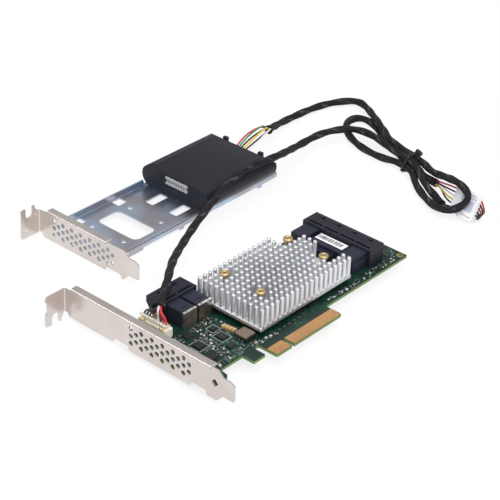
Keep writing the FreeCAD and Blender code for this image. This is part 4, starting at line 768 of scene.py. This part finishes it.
class Shape:
    """One mesh gathered from many stacks of loops, each with its finish."""

    def __init__(self, *finishes):
        self.finishes = finishes
        self.points, self.faces, self.smooth, self.slots = [], [], [], []
        self.count = 0

    def add(self, points, faces, smooth, slot):
        self.points.append(np.asarray(points, dtype=float))
        self.faces += [[self.count + corner for corner in face] for face in faces]
        self.smooth += smooth
        self.slots += [slot] * len(faces)
        self.count += len(points)

    def loft(self, loops, slot=0, smooth=True):
        """Quads between neighbouring loops of equal count, and a flat cap on each end."""
        quads, faces = skin(len(loops), len(loops[0]))
        self.add(np.vstack(loops), faces, [smooth] * len(quads) + [False, False], slot)

    def plate(self, low, high, bottom, top, radius, edge, slot=0):
        """A flat block with round corners and a small chamfer at its top edge."""
        self.loft([rounded(low, high, bottom, radius, 0, 2),
                   rounded(low, high, top - edge, radius, 0, 2),
                   rounded(low, high, top, radius, edge, 2)], slot, False)

    def box(self, low, high, slot=0):
        low, high = np.array(low, dtype=float), np.array(high, dtype=float)
        corners = np.array([[x, y, z] for z in (0, 1) for x, y in
                            ((0, 0), (1, 0), (1, 1), (0, 1))])
        faces = [[3, 2, 1, 0], [4, 5, 6, 7], [0, 1, 5, 4], [1, 2, 6, 5], [2, 3, 7, 6],
                 [3, 0, 4, 7]]
        self.add(low + corners * (high - low), faces, [False] * 6, slot)

    def make(self, name, *nodes):
        mesh = bpy.data.meshes.new(name)
        mesh.from_pydata(place(np.vstack(self.points)).tolist(), [], self.faces)
        mesh.polygons.foreach_set("use_smooth", self.smooth)
        mesh.polygons.foreach_set("material_index", self.slots)
        for finish in self.finishes:
            mesh.materials.append(FINISHES[finish])
        made = link(name, mesh)
        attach(made, "root")
        if nodes:
            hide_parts(*nodes)
        print(name, "faces:", len(self.faces))


# %% [markdown]
# The heat sink is a cast plate with a field of round pins. Each pin is five circles: a wide
# foot where it grows out of the plate, a slight taper, and a rounded top that catches the
# light. Pins are missing round the push pins, beside the port row's label and at one corner.

# %% Heat sink
SINK_LOW = np.array([50.0, 15.8])
SINK_HIGH = SINK_LOW + (74.4, 45.8)
SINK_BASE, SINK_FLOOR, SINK_TOP = 8.3, 10.6, 21.6
PIN_PITCH, PIN_RADIUS, PUSH_PIN_ROOM = 3.94, 1.2, 4.1
PUSH_PINS = [(64.0, 28.8), (64.0, 54.0), (114.3, 27.8), (114.3, 53.0)]

columns, lines = np.meshgrid(np.arange(19), np.arange(12), indexing="ij")
grid = np.column_stack([columns.ravel(), lines.ravel()]) * PIN_PITCH
grid += (SINK_LOW + SINK_HIGH) / 2 - grid.max(axis=0) / 2
clear = np.min([np.hypot(*(grid - middle).T) for middle in PUSH_PINS], axis=0) > PUSH_PIN_ROOM
to_far_end = SINK_HIGH[0] - grid[:, 0]
beside_label = (to_far_end < 11.4) & (abs(grid[:, 1] - SINK_LOW[1] - 14.95) < 6.25)
far_corner = (to_far_end < 14.0) & (grid[:, 1] > SINK_HIGH[1] - 12.0)

sink = Shape("sink_aluminium")
sink.loft([rounded(SINK_LOW, SINK_HIGH, SINK_BASE, 0.8, 0.3),
           rounded(SINK_LOW, SINK_HIGH, SINK_BASE + 0.3, 0.8),
           rounded(SINK_LOW, SINK_HIGH, SINK_FLOOR - 0.4, 0.8),
           rounded(SINK_LOW, SINK_HIGH, SINK_FLOOR, 0.8, 0.4)], smooth=False)
for middle in grid[clear & ~beside_label & ~far_corner]:
    sink.loft([circle(middle, PIN_RADIUS * share, level) for share, level in (
        (1.12, SINK_FLOOR - 0.1), (1.0, SINK_FLOOR + 0.5), (0.97, SINK_TOP - 0.6),
        (0.86, SINK_TOP - 0.2), (0.62, SINK_TOP))])
sink.make("pin_field_sink", "heatsink")

# %% [markdown]
# The edge contacts are gold plated strips on both faces of the board, a millimetre apart,
# in two tabs with the key notch between them. Each strip is a thin plate, round at corners.

# %% Gold edge contacts
fingers = Shape("gold_plate")
SHORT_TAB, SHORT_LENGTH, KEY, FINGER_WIDTH = 44.8, 11.65, 1.9, 0.8
for start, count in ((SHORT_TAB, 11), (SHORT_TAB + SHORT_LENGTH + KEY, 38)):
    for index in range(count):
        left = start + 0.47 + index
        for level in (BOARD_TOP - 0.02, BOARD_BOTTOM - 0.03):
            fingers.plate((left, 0.15), (left + FINGER_WIDTH, 7.4), level, level + 0.05, 0.3,
                          0.01)
fingers.make("gold_fingers", "edge_contacts")

# %% [markdown]
# Four push pins hold the sink down. The head is a brass mushroom with a shallow dish, and a
# near-black bar across the dish is painted shade for its slot. Under it a wound spring pushes
# on the plate. The spring is a helix: its middle goes round the pin while it climbs, and a
# small circle is carried along it.

# %% Push pins and springs
heads = Shape("brass_pins", "painted_slot_shade")
head_low = SINK_TOP - 1.6
for middle in PUSH_PINS:
    heads.loft([circle(middle, radius, level, 28) for radius, level in (
        (1.2, 1.2), (1.42, 2.8), (1.2, 3.3), (1.2, head_low), (2.5, head_low),
        (2.8, head_low + 0.3), (2.8, head_low + 1.2), (2.6, head_low + 1.7),
        (2.2, head_low + 1.95), (1.3, head_low + 1.95), (1.1, head_low + 1.6))])
    # Painted shade: a thin near-black bar in the dish stands for the slot across the head.
    heads.box((middle[0] - 0.9, middle[1] - 0.22, head_low + 1.5),
              (middle[0] + 0.9, middle[1] + 0.22, head_low + 1.62), 1)
heads.make("brass_push_pins", "push_pins")


def coil(middle, radius, low, high, turns, thick):
    """Points at turn t: middle + radius (cos t, sin t), climbing evenly from low to high."""
    angle = np.linspace(0, 2 * math.pi * turns, turns * 26)
    climb = np.clip((angle / angle[-1] - 0.06) / 0.88, 0, 1)
    level = low + thick + (high - low - 2 * thick) * climb
    return place(np.column_stack([middle[0] + radius * np.cos(angle),
                                  middle[1] + radius * np.sin(angle), level]))


for index, middle in enumerate(PUSH_PINS):
    spring = tube("sink_spring_%d" % (index + 1), coil(middle, 1.7, SINK_FLOOR, head_low, 7, 0.2),
                  0.2 * MM, 6, "steel_wire")
    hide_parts("push_pin_springs")
print("springs:", len(PUSH_PINS))

# %% [markdown]
# A real board carries hundreds of parts smaller than a grain of rice. They matter only as
# texture, so they are scattered: a seeded generator offers places on a quarter-millimetre
# grid inside each free zone, and a place is kept when it is clear of all the others. Each
# part is a ceramic or resistor body between two tinned ends.

# %% Small soldered parts
# each package's corner in X and Y, then its length, width and height
CHIPS = [(34.6, 28.4, 5.0, 5.0, 1.0), (32.0, 20.4, 3.8, 3.2, 0.9), (37.4, 37.4, 3.6, 3.0, 0.8),
         (16.2, 19.6, 6.2, 5.2, 1.2), (20.0, 31.0, 5.4, 5.4, 1.0), (22.6, 41.2, 4.4, 4.4, 0.9),
         (125.2, 58.6, 3.6, 5.0, 1.0), (158.2, 44.0, 5.2, 5.2, 0.9)]
ZONES = [  # low corner, high corner, how many
    ((10.5, 13.6), (48.8, 20.5), 66), ((3.6, 19.4), (17.0, 47.6), 44),
    ((17.0, 20.0), (43.0, 48.2), 120), ((42.0, 38.6), (49.2, 61.0), 16),
    ((46.8, 11.9), (60.0, 15.0), 12), ((101.0, 11.9), (128.0, 15.0), 16),
    ((51.0, 62.6), (124.0, 68.0), 44), ((125.4, 17.5), (129.0, 66.0), 16),
    ((156.4, 17.4), (167.4, 67.6), 34), ((130.0, 11.8), (162.0, 16.4), 22)]
KEEP_OUT = [(x - 1.3, y - 1.6, x + length + 1.3, y + width + 1.6)
            for x, y, length, width, height in CHIPS]
KEEP_OUT += [(42.4, 28.6, 47.2, 37.6), (39.8, 16.9, 50.6, 27.9), (162.6, 10.9, 168.6, 17.2),
             (124.8, 38.0, 129.6, 44.4), (87.4, 62.8, 93.8, 67.4), (3.0, 12.0, 10.4, 18.4)]
# length, width and height of each kind of small part, and how common it is
KINDS = [(1.0, 0.5, 0.35), (1.6, 0.8, 0.5), (1.6, 0.8, 0.5), (2.0, 1.25, 0.8), (3.0, 1.6, 1.0)]
KIND_SHARES = (0.36, 0.26, 0.2, 0.13, 0.05)
BODY_SHARES = (0.10, 0.40, 0.10, 0.40)
END_SHARE, LINED_SHARE, OFFERS_EACH = 0.24, 0.55, 14

SILK_WIDTH, SILK_LOW, SILK_HIGH = 0.14, BOARD_TOP - 0.02, BOARD_TOP + 0.03
GAP = 0.32

scatter = np.random.default_rng(7)
taken = list(KEEP_OUT)
parts = Shape("tinned_legs", "tan_ceramic", "dark_resistor", "brown_ceramic", "pale_ceramic",
              "silk_ink")
made_parts = 0
for low, high, wanted in ZONES:
    kept = 0
    for offer in range(wanted * OFFERS_EACH):
        if kept == wanted:
            break
        kind = scatter.choice(5, p=KIND_SHARES)
        size = np.array(KINDS[kind][:2])
        turned = scatter.random() < 0.5
        span = size[::-1] if turned else size
        corner = np.round((np.array(low) + scatter.random(2) * (np.array(high) - low - span))
                          * 4) / 4
        area = (*(corner - GAP), *(corner + span + GAP))
        if any(area[0] < other[2] and area[2] > other[0] and area[1] < other[3]
               and area[3] > other[1] for other in taken):
            continue
        taken.append(area)
        kept += 1
        top, far = BOARD_TOP + KINDS[kind][2], corner + span
        slot = 2 if kind == 4 else int(scatter.choice((1, 2, 3, 4), p=BODY_SHARES))
        lengthwise = np.array((0, 1) if turned else (1, 0))
        end, cross = span * lengthwise * END_SHARE, span * (1 - lengthwise)
        parts.box((*corner, SILK_LOW), (*(corner + end + cross), top))
        parts.box((*(far - end - cross), SILK_LOW), (*far, top))
        parts.box((*(corner + end), SILK_LOW), (*(far - end), top - 0.04), slot)
        if scatter.random() < LINED_SHARE:
            line = corner - GAP * (1 - lengthwise) * 0.9
            parts.box((*(line - SILK_WIDTH * (1 - lengthwise)), SILK_LOW),
                      (*(line + span * lengthwise), SILK_HIGH), 5)
    made_parts += kept
print("small parts:", made_parts)

# %% [markdown]
# The larger packages are flat black blocks with tinned legs along two sides. Beside the sink
# sits the largest one, a power choke: a dark block under a metal lid.

# %% Packages, choke, printed outlines and the ring of the mounting hole
packages = Shape("chip_epoxy", "tinned_legs", "inductor_metal", "gold_plate")
LEG_PITCH, LEG_WIDTH, LEG_REACH = 0.8, 0.35, 0.6
for x, y, length, width, height in CHIPS:
    packages.plate((x, y), (x + length, y + width), BOARD_TOP + 0.08, BOARD_TOP + height, 0.15,
                   0.1)
    for leg in np.arange(x + 0.5, x + length - 0.4, LEG_PITCH):
        for side in (y - 0.35, y + width - 0.25):
            packages.box((leg, side, BOARD_TOP - 0.01),
                         (leg + LEG_WIDTH, side + LEG_REACH, BOARD_TOP + 0.12), 1)
CHOKE_LID = BOARD_TOP + 2.2
packages.plate((41.0, 18.0), (49.4, 26.6), BOARD_TOP, CHOKE_LID, 0.5, 0.2)
packages.plate((41.3, 18.3), (49.1, 26.3), CHOKE_LID, BOARD_TOP + 3.1, 0.9, 0.25, 2)
for lug in (19.6, 22.0, 24.4):
    packages.box((40.5, lug, BOARD_TOP), (41.05, lug + 1.2, BOARD_TOP + 0.9), 1)
HOLE_X, HOLE_Y, RING_INSIDE, RING_OUTSIDE = 165.7, 13.8, 1.45, 2.0
ring_angle = np.linspace(0, 2 * math.pi, 33)[:-1]
ring_points = np.vstack([np.column_stack([HOLE_X + reach * np.cos(ring_angle),
                                          HOLE_Y + reach * np.sin(ring_angle),
                                          np.full(32, BOARD_TOP + 0.02)])
                         for reach in (RING_INSIDE, RING_OUTSIDE)])
ring_faces = [[i, 32 + i, 32 + (i + 1) % 32, (i + 1) % 32] for i in range(32)]
packages.add(ring_points, ring_faces, [False] * 32, 3)
packages.make("board_packages", "chips", "chip_legs", "inductor")

for x, y, length, width, height in CHIPS[::2]:
    low, high = np.array((x - 1.1, y - 1.3)), np.array((x + length + 1.1, y + width + 1.3))
    wide, tall = (high[0] - low[0], 0.2), (0.2, high[1] - low[1])
    for corner, span in ((low, wide), (low, tall), ((low[0], high[1]), wide),
                         ((high[0], low[1]), tall)):
        parts.box((*corner, SILK_LOW), (*np.add(corner, span), SILK_HIGH), 5)
parts.make("surface_parts")

# %% [markdown]
# The board is glass cloth and resin under a dark green mask. Copper tracks show through it as
# slightly lighter lines, and plated holes as small pale dots. The tracks are sine stripes
# that run along X or Y, one way in each cell of a Voronoi texture, so they lie in parallel
# groups as routed tracks do. Its cut edges are a lighter, raw green.

# %% Board finish
board = Finish("solder_mask")
board_x, board_y = board.axes()[:2]
TRACK_PITCH = 0.62
lane_x = (board_y * (2 * math.pi / TRACK_PITCH)).wave()
lane_y = (board_x * (2 * math.pi / TRACK_PITCH)).wave()
region = board.node("ShaderNodeTexVoronoi", dict(feature="F1"),
                    {"Vector": board.at(), "Scale": 150.0}, output=1)
region_part, region_kind = board.split(region)[:2]
direction = region_part.above(0.5)
lanes = lane_x.ramp(0.1, 0.35) * direction + lane_y.ramp(0.1, 0.35) * (1 - direction)
tracks = lanes * region_kind.above(0.45)
dots = board.node("ShaderNodeTexVoronoi", dict(feature="F1"),
                  {"Vector": board.at(), "Scale": 420.0, "Randomness": 0.75}, output=0)
vias = 1 - dots.ramp(0.10, 0.16)
via_zone = board.noise(11.0, detail=1.0).above(0.52)
plated = vias * via_zone
clouds = board.noise(16.0)
mask_green = board.clouded(clouds, srgb(5, 33, 29), srgb(9, 43, 36))
tracked = board.mix(tracks, mask_green, srgb(17, 60, 48))
normal_z = board.split(board.node("ShaderNodeNewGeometry", output=3))[2]
rim = 1 - normal_z.math("ABSOLUTE").above(0.5)
dotted = board.mix(plated * (1 - rim), tracked, srgb(150, 160, 140))
board.set(Base_Color=board.mix(rim, dotted, srgb(104, 128, 72)),
          Roughness=(tracks * -0.06 + 0.46) + rim * 0.3, Specular_IOR_Level=0.3,
          Metallic=plated * (1 - rim) * 0.7)
board.bump(tracks * 0.6 + plated * 0.4, 0.03)

# %% [markdown]
# Moulded and folded pieces read by the glint on their edges. The CAD node has the right
# shape but dead sharp edges, and its triangles are loose. So each of these pieces is a copy
# of its node: the doubles are merged, flat faces joined, and a narrow Bevel modifier breaks
# the edges. The copy then stands for the node.

# %% Broken edges


LEAN_TO, LEAN_BELOW = 67.6, 12.4


def step_back(work):
    """Below the deck, what overhangs the board's edge leans back to it: Y is capped there."""
    edge, level = place((0.0, LEAN_TO, LEAN_BELOW))[1:]
    bmesh.ops.bisect_plane(work, geom=work.verts[:] + work.edges[:] + work.faces[:],
                           plane_co=(0, 0, level), plane_no=(0, 0, 1))
    for corner in work.verts:
        if corner.co.z < level - 0.01 * MM and corner.co.y > edge:
            corner.co.y = edge


def broken_edges(node, finish, width, reshape=None):
    """A merged copy of a CAD node with a bevel of the given width in millimetres."""
    name = node + "_dressed"
    mesh = NODES[node].data.copy()
    mesh.name = name
    work = bmesh.new()
    work.from_mesh(mesh)
    bmesh.ops.remove_doubles(work, verts=work.verts[:], dist=0.002 * MM)
    bmesh.ops.dissolve_limit(work, angle_limit=math.radians(0.8), verts=work.verts[:],
                             edges=work.edges[:])
    if reshape:
        reshape(work)
    work.to_mesh(mesh)
    work.free()
    mesh.materials.clear()
    mesh.materials.append(FINISHES[finish])
    mesh.polygons.foreach_set("material_index", [0] * len(mesh.polygons))
    mesh.polygons.foreach_set("use_smooth", [True] * len(mesh.polygons))
    mesh.set_sharp_from_angle(angle=math.radians(40))
    made = link(name, mesh)
    bevel = made.modifiers.new("edge_break", "BEVEL")
    bevel.width = width * MM
    bevel.segments = 2
    bevel.limit_method = "ANGLE"
    bevel.angle_limit = math.radians(32)
    bevel.use_clamp_overlap = True
    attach(made, "root")
    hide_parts(node)
    print(name, "faces:", len(mesh.polygons))


for node, finish, width in (
        ("end_port_housing", "port_plastic", 0.22),
        ("end_port_cages", "cage_plastic", 0.18), ("top_port_cages", "cage_lid", 0.16),
        ("power_header", "cream_nylon", 0.16), ("header_plug", "cream_nylon", 0.14),
        ("module_base", "module_plastic", 0.35), ("module_cover", "module_plastic", 0.5),
        ("module_socket", "grey_nylon", 0.12),
        ("card_bracket", "nickel_plate", 0.06), ("tray_bracket", "nickel_plate", 0.06),
        ("tray", "zinc_plate", 0.06), ("memory_chips", "chip_epoxy", 0.08)):
    broken_edges(node, finish, width)
broken_edges("top_port_housing", "port_plastic", 0.22, step_back)
broken_edges("top_port_contacts", "brass_pins", 0.05, step_back)

# %% [markdown]
# Small reliefs that only the eye needs: near-black floors of painted shade in the deck slots
# over each port, raised rims beside them in a lighter plastic as painted highlight with a
# near-black line of painted shade inside each, two ridges along the row of four in the
# lighter plastic as painted highlight with a line of painted shade between them, the ribs
# between the ways of the power plug with the amber latches beside them, and the bead along
# the module's far edge, a strip of the lighter plastic as a painted highlight line.

# %% Slot floors and rims, ridges, plug ribs, latches and bead
trim = Shape("painted_slot_shade", "white_nylon", "amber_nylon", "bead_plastic")
SLOT_LOW, SLOT_HIGH, HALF_SLOT = 15.2, 15.38, 4.8
UNDER_DECK, GROOVE_FLOOR, HALF_RIM, RIM_WIDTH = 15.95, 15.99, 5.0, 0.2
ROW_LOW, ROW_HIGH, RIDGE_WIDTH = 17.9, 65.35, 0.45
# Painted shade: a near-black floor sunk in each deck slot.
for middle in END_PORTS:
    trim.box((144.2, middle - HALF_SLOT, SLOT_LOW), (145.9, middle + HALF_SLOT, SLOT_HIGH))
for middle in TOP_PORTS:
    trim.box((middle - HALF_SLOT, 63.5, SLOT_LOW), (middle + HALF_SLOT, 65.2, SLOT_HIGH))
for rib in range(10):
    level = HEADER_MIDDLE[1] + (rib - 5) * WAY_PITCH + 0.75
    trim.box((14.75, level, 12.2), (16.4, level + 0.5, 13.0), 1)
for level in (50.4, 64.8):
    trim.plate((14.05, level), (14.7, level + 3.2), 8.2, 11.0, 0.2, 0.1, 2)
# The bead is a thin strip of the lighter plastic: a painted highlight along the module's far
# edge.
trim.plate((129.6, 168.2), (181.0, 168.7), 16.45, 16.68, 0.2, 0.06, 3)
# Each slot's rims are the lighter plastic, as painted highlight, with a near-black line of
# painted shade just inside each.
for middle in END_PORTS:
    for left, top, slot in ((143.75, 16.07, 3), (146.15, 16.07, 3), (144.0, GROOVE_FLOOR, 0),
                            (145.9, GROOVE_FLOOR, 0)):
        trim.box((left, middle - HALF_RIM, UNDER_DECK),
                 (left + RIM_WIDTH, middle + HALF_RIM, top), slot)
# The two ridges are the lighter plastic, as painted highlight, and the near-black line between
# them is painted shade.
for ridge in (153.0, 154.1):
    trim.plate((ridge, ROW_LOW), (ridge + RIDGE_WIDTH, ROW_HIGH), 15.9, 16.3, 0.2, 0.1, 3)
trim.box((153.5, ROW_LOW, UNDER_DECK), (154.05, ROW_HIGH, GROOVE_FLOOR))
trim.make("port_and_plug_trim")

# %% [markdown]
# The tie is one nylon strap round four strands. Its line is the hull of the strands: an arc
# round each, joined by straight runs. A flat section is carried round it and closed on
# itself. The head is a small block on the upper strand, and the cut end shows below.

# %% Cable tie
tie_along = unit((-0.2, -0.98, 0.0))
tie_across = unit((0.98, -0.2, 0.0))
TIE_SHIFT = 3.6
tie_middle = np.array((260.0, 80.0, 0.0)) + tie_along * TIE_SHIFT
strands = np.array([(-3.55, 1.26), (1.2, 1.26), (3.6, 5.62), (-1.15, 5.42)])


def strap_line(reach):
    """Points at the given distance outside the polygon of strand middles, arcs at corners."""
    points = []
    for index in range(4):
        before, here, after = strands[index - 1], strands[index], strands[(index + 1) % 4]
        first = math.atan2(-(here - before)[0], (here - before)[1])
        last = math.atan2(-(after - here)[0], (after - here)[1])
        turn = np.linspace(first, first + (last - first) % (2 * math.pi), 7)
        points.append(here + reach * np.column_stack([np.cos(turn), np.sin(turn)]))
    return np.vstack(points)


def at_tie(along, points):
    return tie_middle + tie_along * along + np.outer(points[:, 0], tie_across) \
        + np.outer(points[:, 1], (0, 0, 1))


strap = Shape("tie_nylon")
inner = SLEEVE_DIA / 2 + 0.1
rings = np.array([at_tie(along, strap_line(inner + out)) for along, out in (
    (-1.1, 0.0), (-1.3, 0.25), (-1.1, 0.75), (1.1, 0.75), (1.3, 0.25), (1.1, 0.0))])
section, around = rings.shape[:2]
index = np.arange(section * around).reshape(section, around)
turn = np.roll(index, -1, axis=1)
quads = np.stack([index, turn, np.roll(turn, -1, axis=0), np.roll(index, -1, axis=0)], axis=-1)
strap.add(rings.reshape(-1, 3), quads.reshape(-1, 4).tolist(), [True] * (section * around), 0)
lean = math.radians(40)
head_out = tie_across * math.cos(lean) + np.array((0, 0, 1)) * math.sin(lean)
head_side = np.cross(tie_along, head_out)


def tie_block(corner, low, high, bottom, top, edge):
    """A rounded block in the head's own frame: across it, along the strands, and outwards."""
    loops = pillow(low, high, bottom, top, edge, edge * 0.6)
    spot = at_tie(0.0, strands[corner:corner + 1])[0]
    strap.loft([spot + np.outer(loop[:, 0], head_side) + np.outer(loop[:, 1], tie_along)
                + np.outer(loop[:, 2], head_out) for loop in loops])


tie_block(2, (-1.9, -1.9), (1.9, 1.9), inner + 0.2, inner + 2.6, 0.35)
tie_block(0, (-0.6, -1.1), (1.6, 1.1), -inner - 1.6, -inner - 0.7, 0.2)
strap.make("nylon_cable_tie", "cable_tie")

# %% [markdown]
# The inline connector is a white nylon plug pushed into a wider socket. Both are rounded
# blocks in the connector's own frame. The socket has a rim, three ribs and a grey-blue panel
# over the recess where the plug's latch is seen, painted as the shade in that recess; the
# plug has a collar where the wires go in.

# %% Inline connector


def inline_block(shape, low, high, bottom, top, slot=0, edge=0.3):
    """A rounded block in the connector's frame, from bottom to top along Z."""
    shape.loft([np.array([on_inline(*point) for point in loop])
                for loop in pillow(low, high, bottom, top, edge, edge)], slot, False)


socket = Shape("clear_nylon", "smoke_nylon")
inline_block(socket, (6.8, 0.0), (17.2, 16.4), -5.6, 0.0)
inline_block(socket, (6.6, -0.2), (8.0, 16.6), -5.8, 0.15)
# A thin grey-blue panel on the socket's face: painted shade of the recess over the latch.
inline_block(socket, (9.4, 4.9), (15.4, 11.5), -0.4, 0.1, 1, 0.08)
for rib in (2.0, 13.0, 14.6):
    inline_block(socket, (9.0, rib), (16.6, rib + 0.6), -0.3, 0.3, 0, 0.1)
socket.make("white_inline_socket", "inline_socket")
plug = Shape("clear_nylon", "smoke_nylon")
inline_block(plug, (0.0, 0.5), (6.0, 15.9), -5.2, -0.4)
inline_block(plug, (0.0, 0.2), (1.2, 16.2), -5.4, -0.2)
inline_block(plug, (5.0, 1.3), (8.4, 15.1), -4.8, -0.9)
inline_block(plug, (3.2, 6.4), (8.0, 10.0), -0.6, 0.3, 0, 0.15)
plug.make("white_inline_plug", "inline_plug")

# %% [markdown]
# Every CAD node takes a finish, also where a finer piece stands for it. The exceptions are
# the six nodes of the sleeves and wires, which the tubes above stand for.

# %% Finishes of the CAD nodes
DRESS = {
    "solder_mask": ("printed_circuit_board", "module_board"),
    "gold_plate": ("edge_contacts", "header_pins"),
    "screw_steel": ("bracket_screws", "module_screws", "oscillators"),
    "brass_pins": ("push_pins", "top_port_contacts", "end_port_contacts"),
    "thermal_paste": ("thermal_pad",), "tinned_legs": ("chip_legs",),
    "chip_epoxy": ("controller_chip", "memory_chips", "chips"),
    "brown_ceramic": ("small_components",), "orange_ceramic": ("ceramic_capacitors",),
    "inductor_metal": ("inductor",), "cell_sleeve": ("capacitor_cells",),
    "label_print": ("part_label",), "nickel_plate": ("card_bracket", "tray_bracket"),
    "zinc_plate": ("tray",), "steel_wire": ("push_pin_springs",),
    "sink_aluminium": ("heatsink",), "port_plastic": ("top_port_housing", "end_port_housing"),
    "cage_plastic": ("end_port_cages",), "cage_lid": ("top_port_cages",),
    "cream_nylon": ("power_header", "header_plug"), "grey_nylon": ("module_socket",),
    "module_plastic": ("module_base", "module_cover"),
    "clear_nylon": ("inline_plug", "inline_socket"), "tie_nylon": ("cable_tie",)}
dressed = 0
for finish, names in DRESS.items():
    for name in names:
        if not NODES[name].data.materials:
            NODES[name].data.materials.append(None)
        for slot in NODES[name].material_slots:
            slot.material = FINISHES[finish]
        dressed += 1
print("dressed", dressed, "of", len(NODES), "nodes")
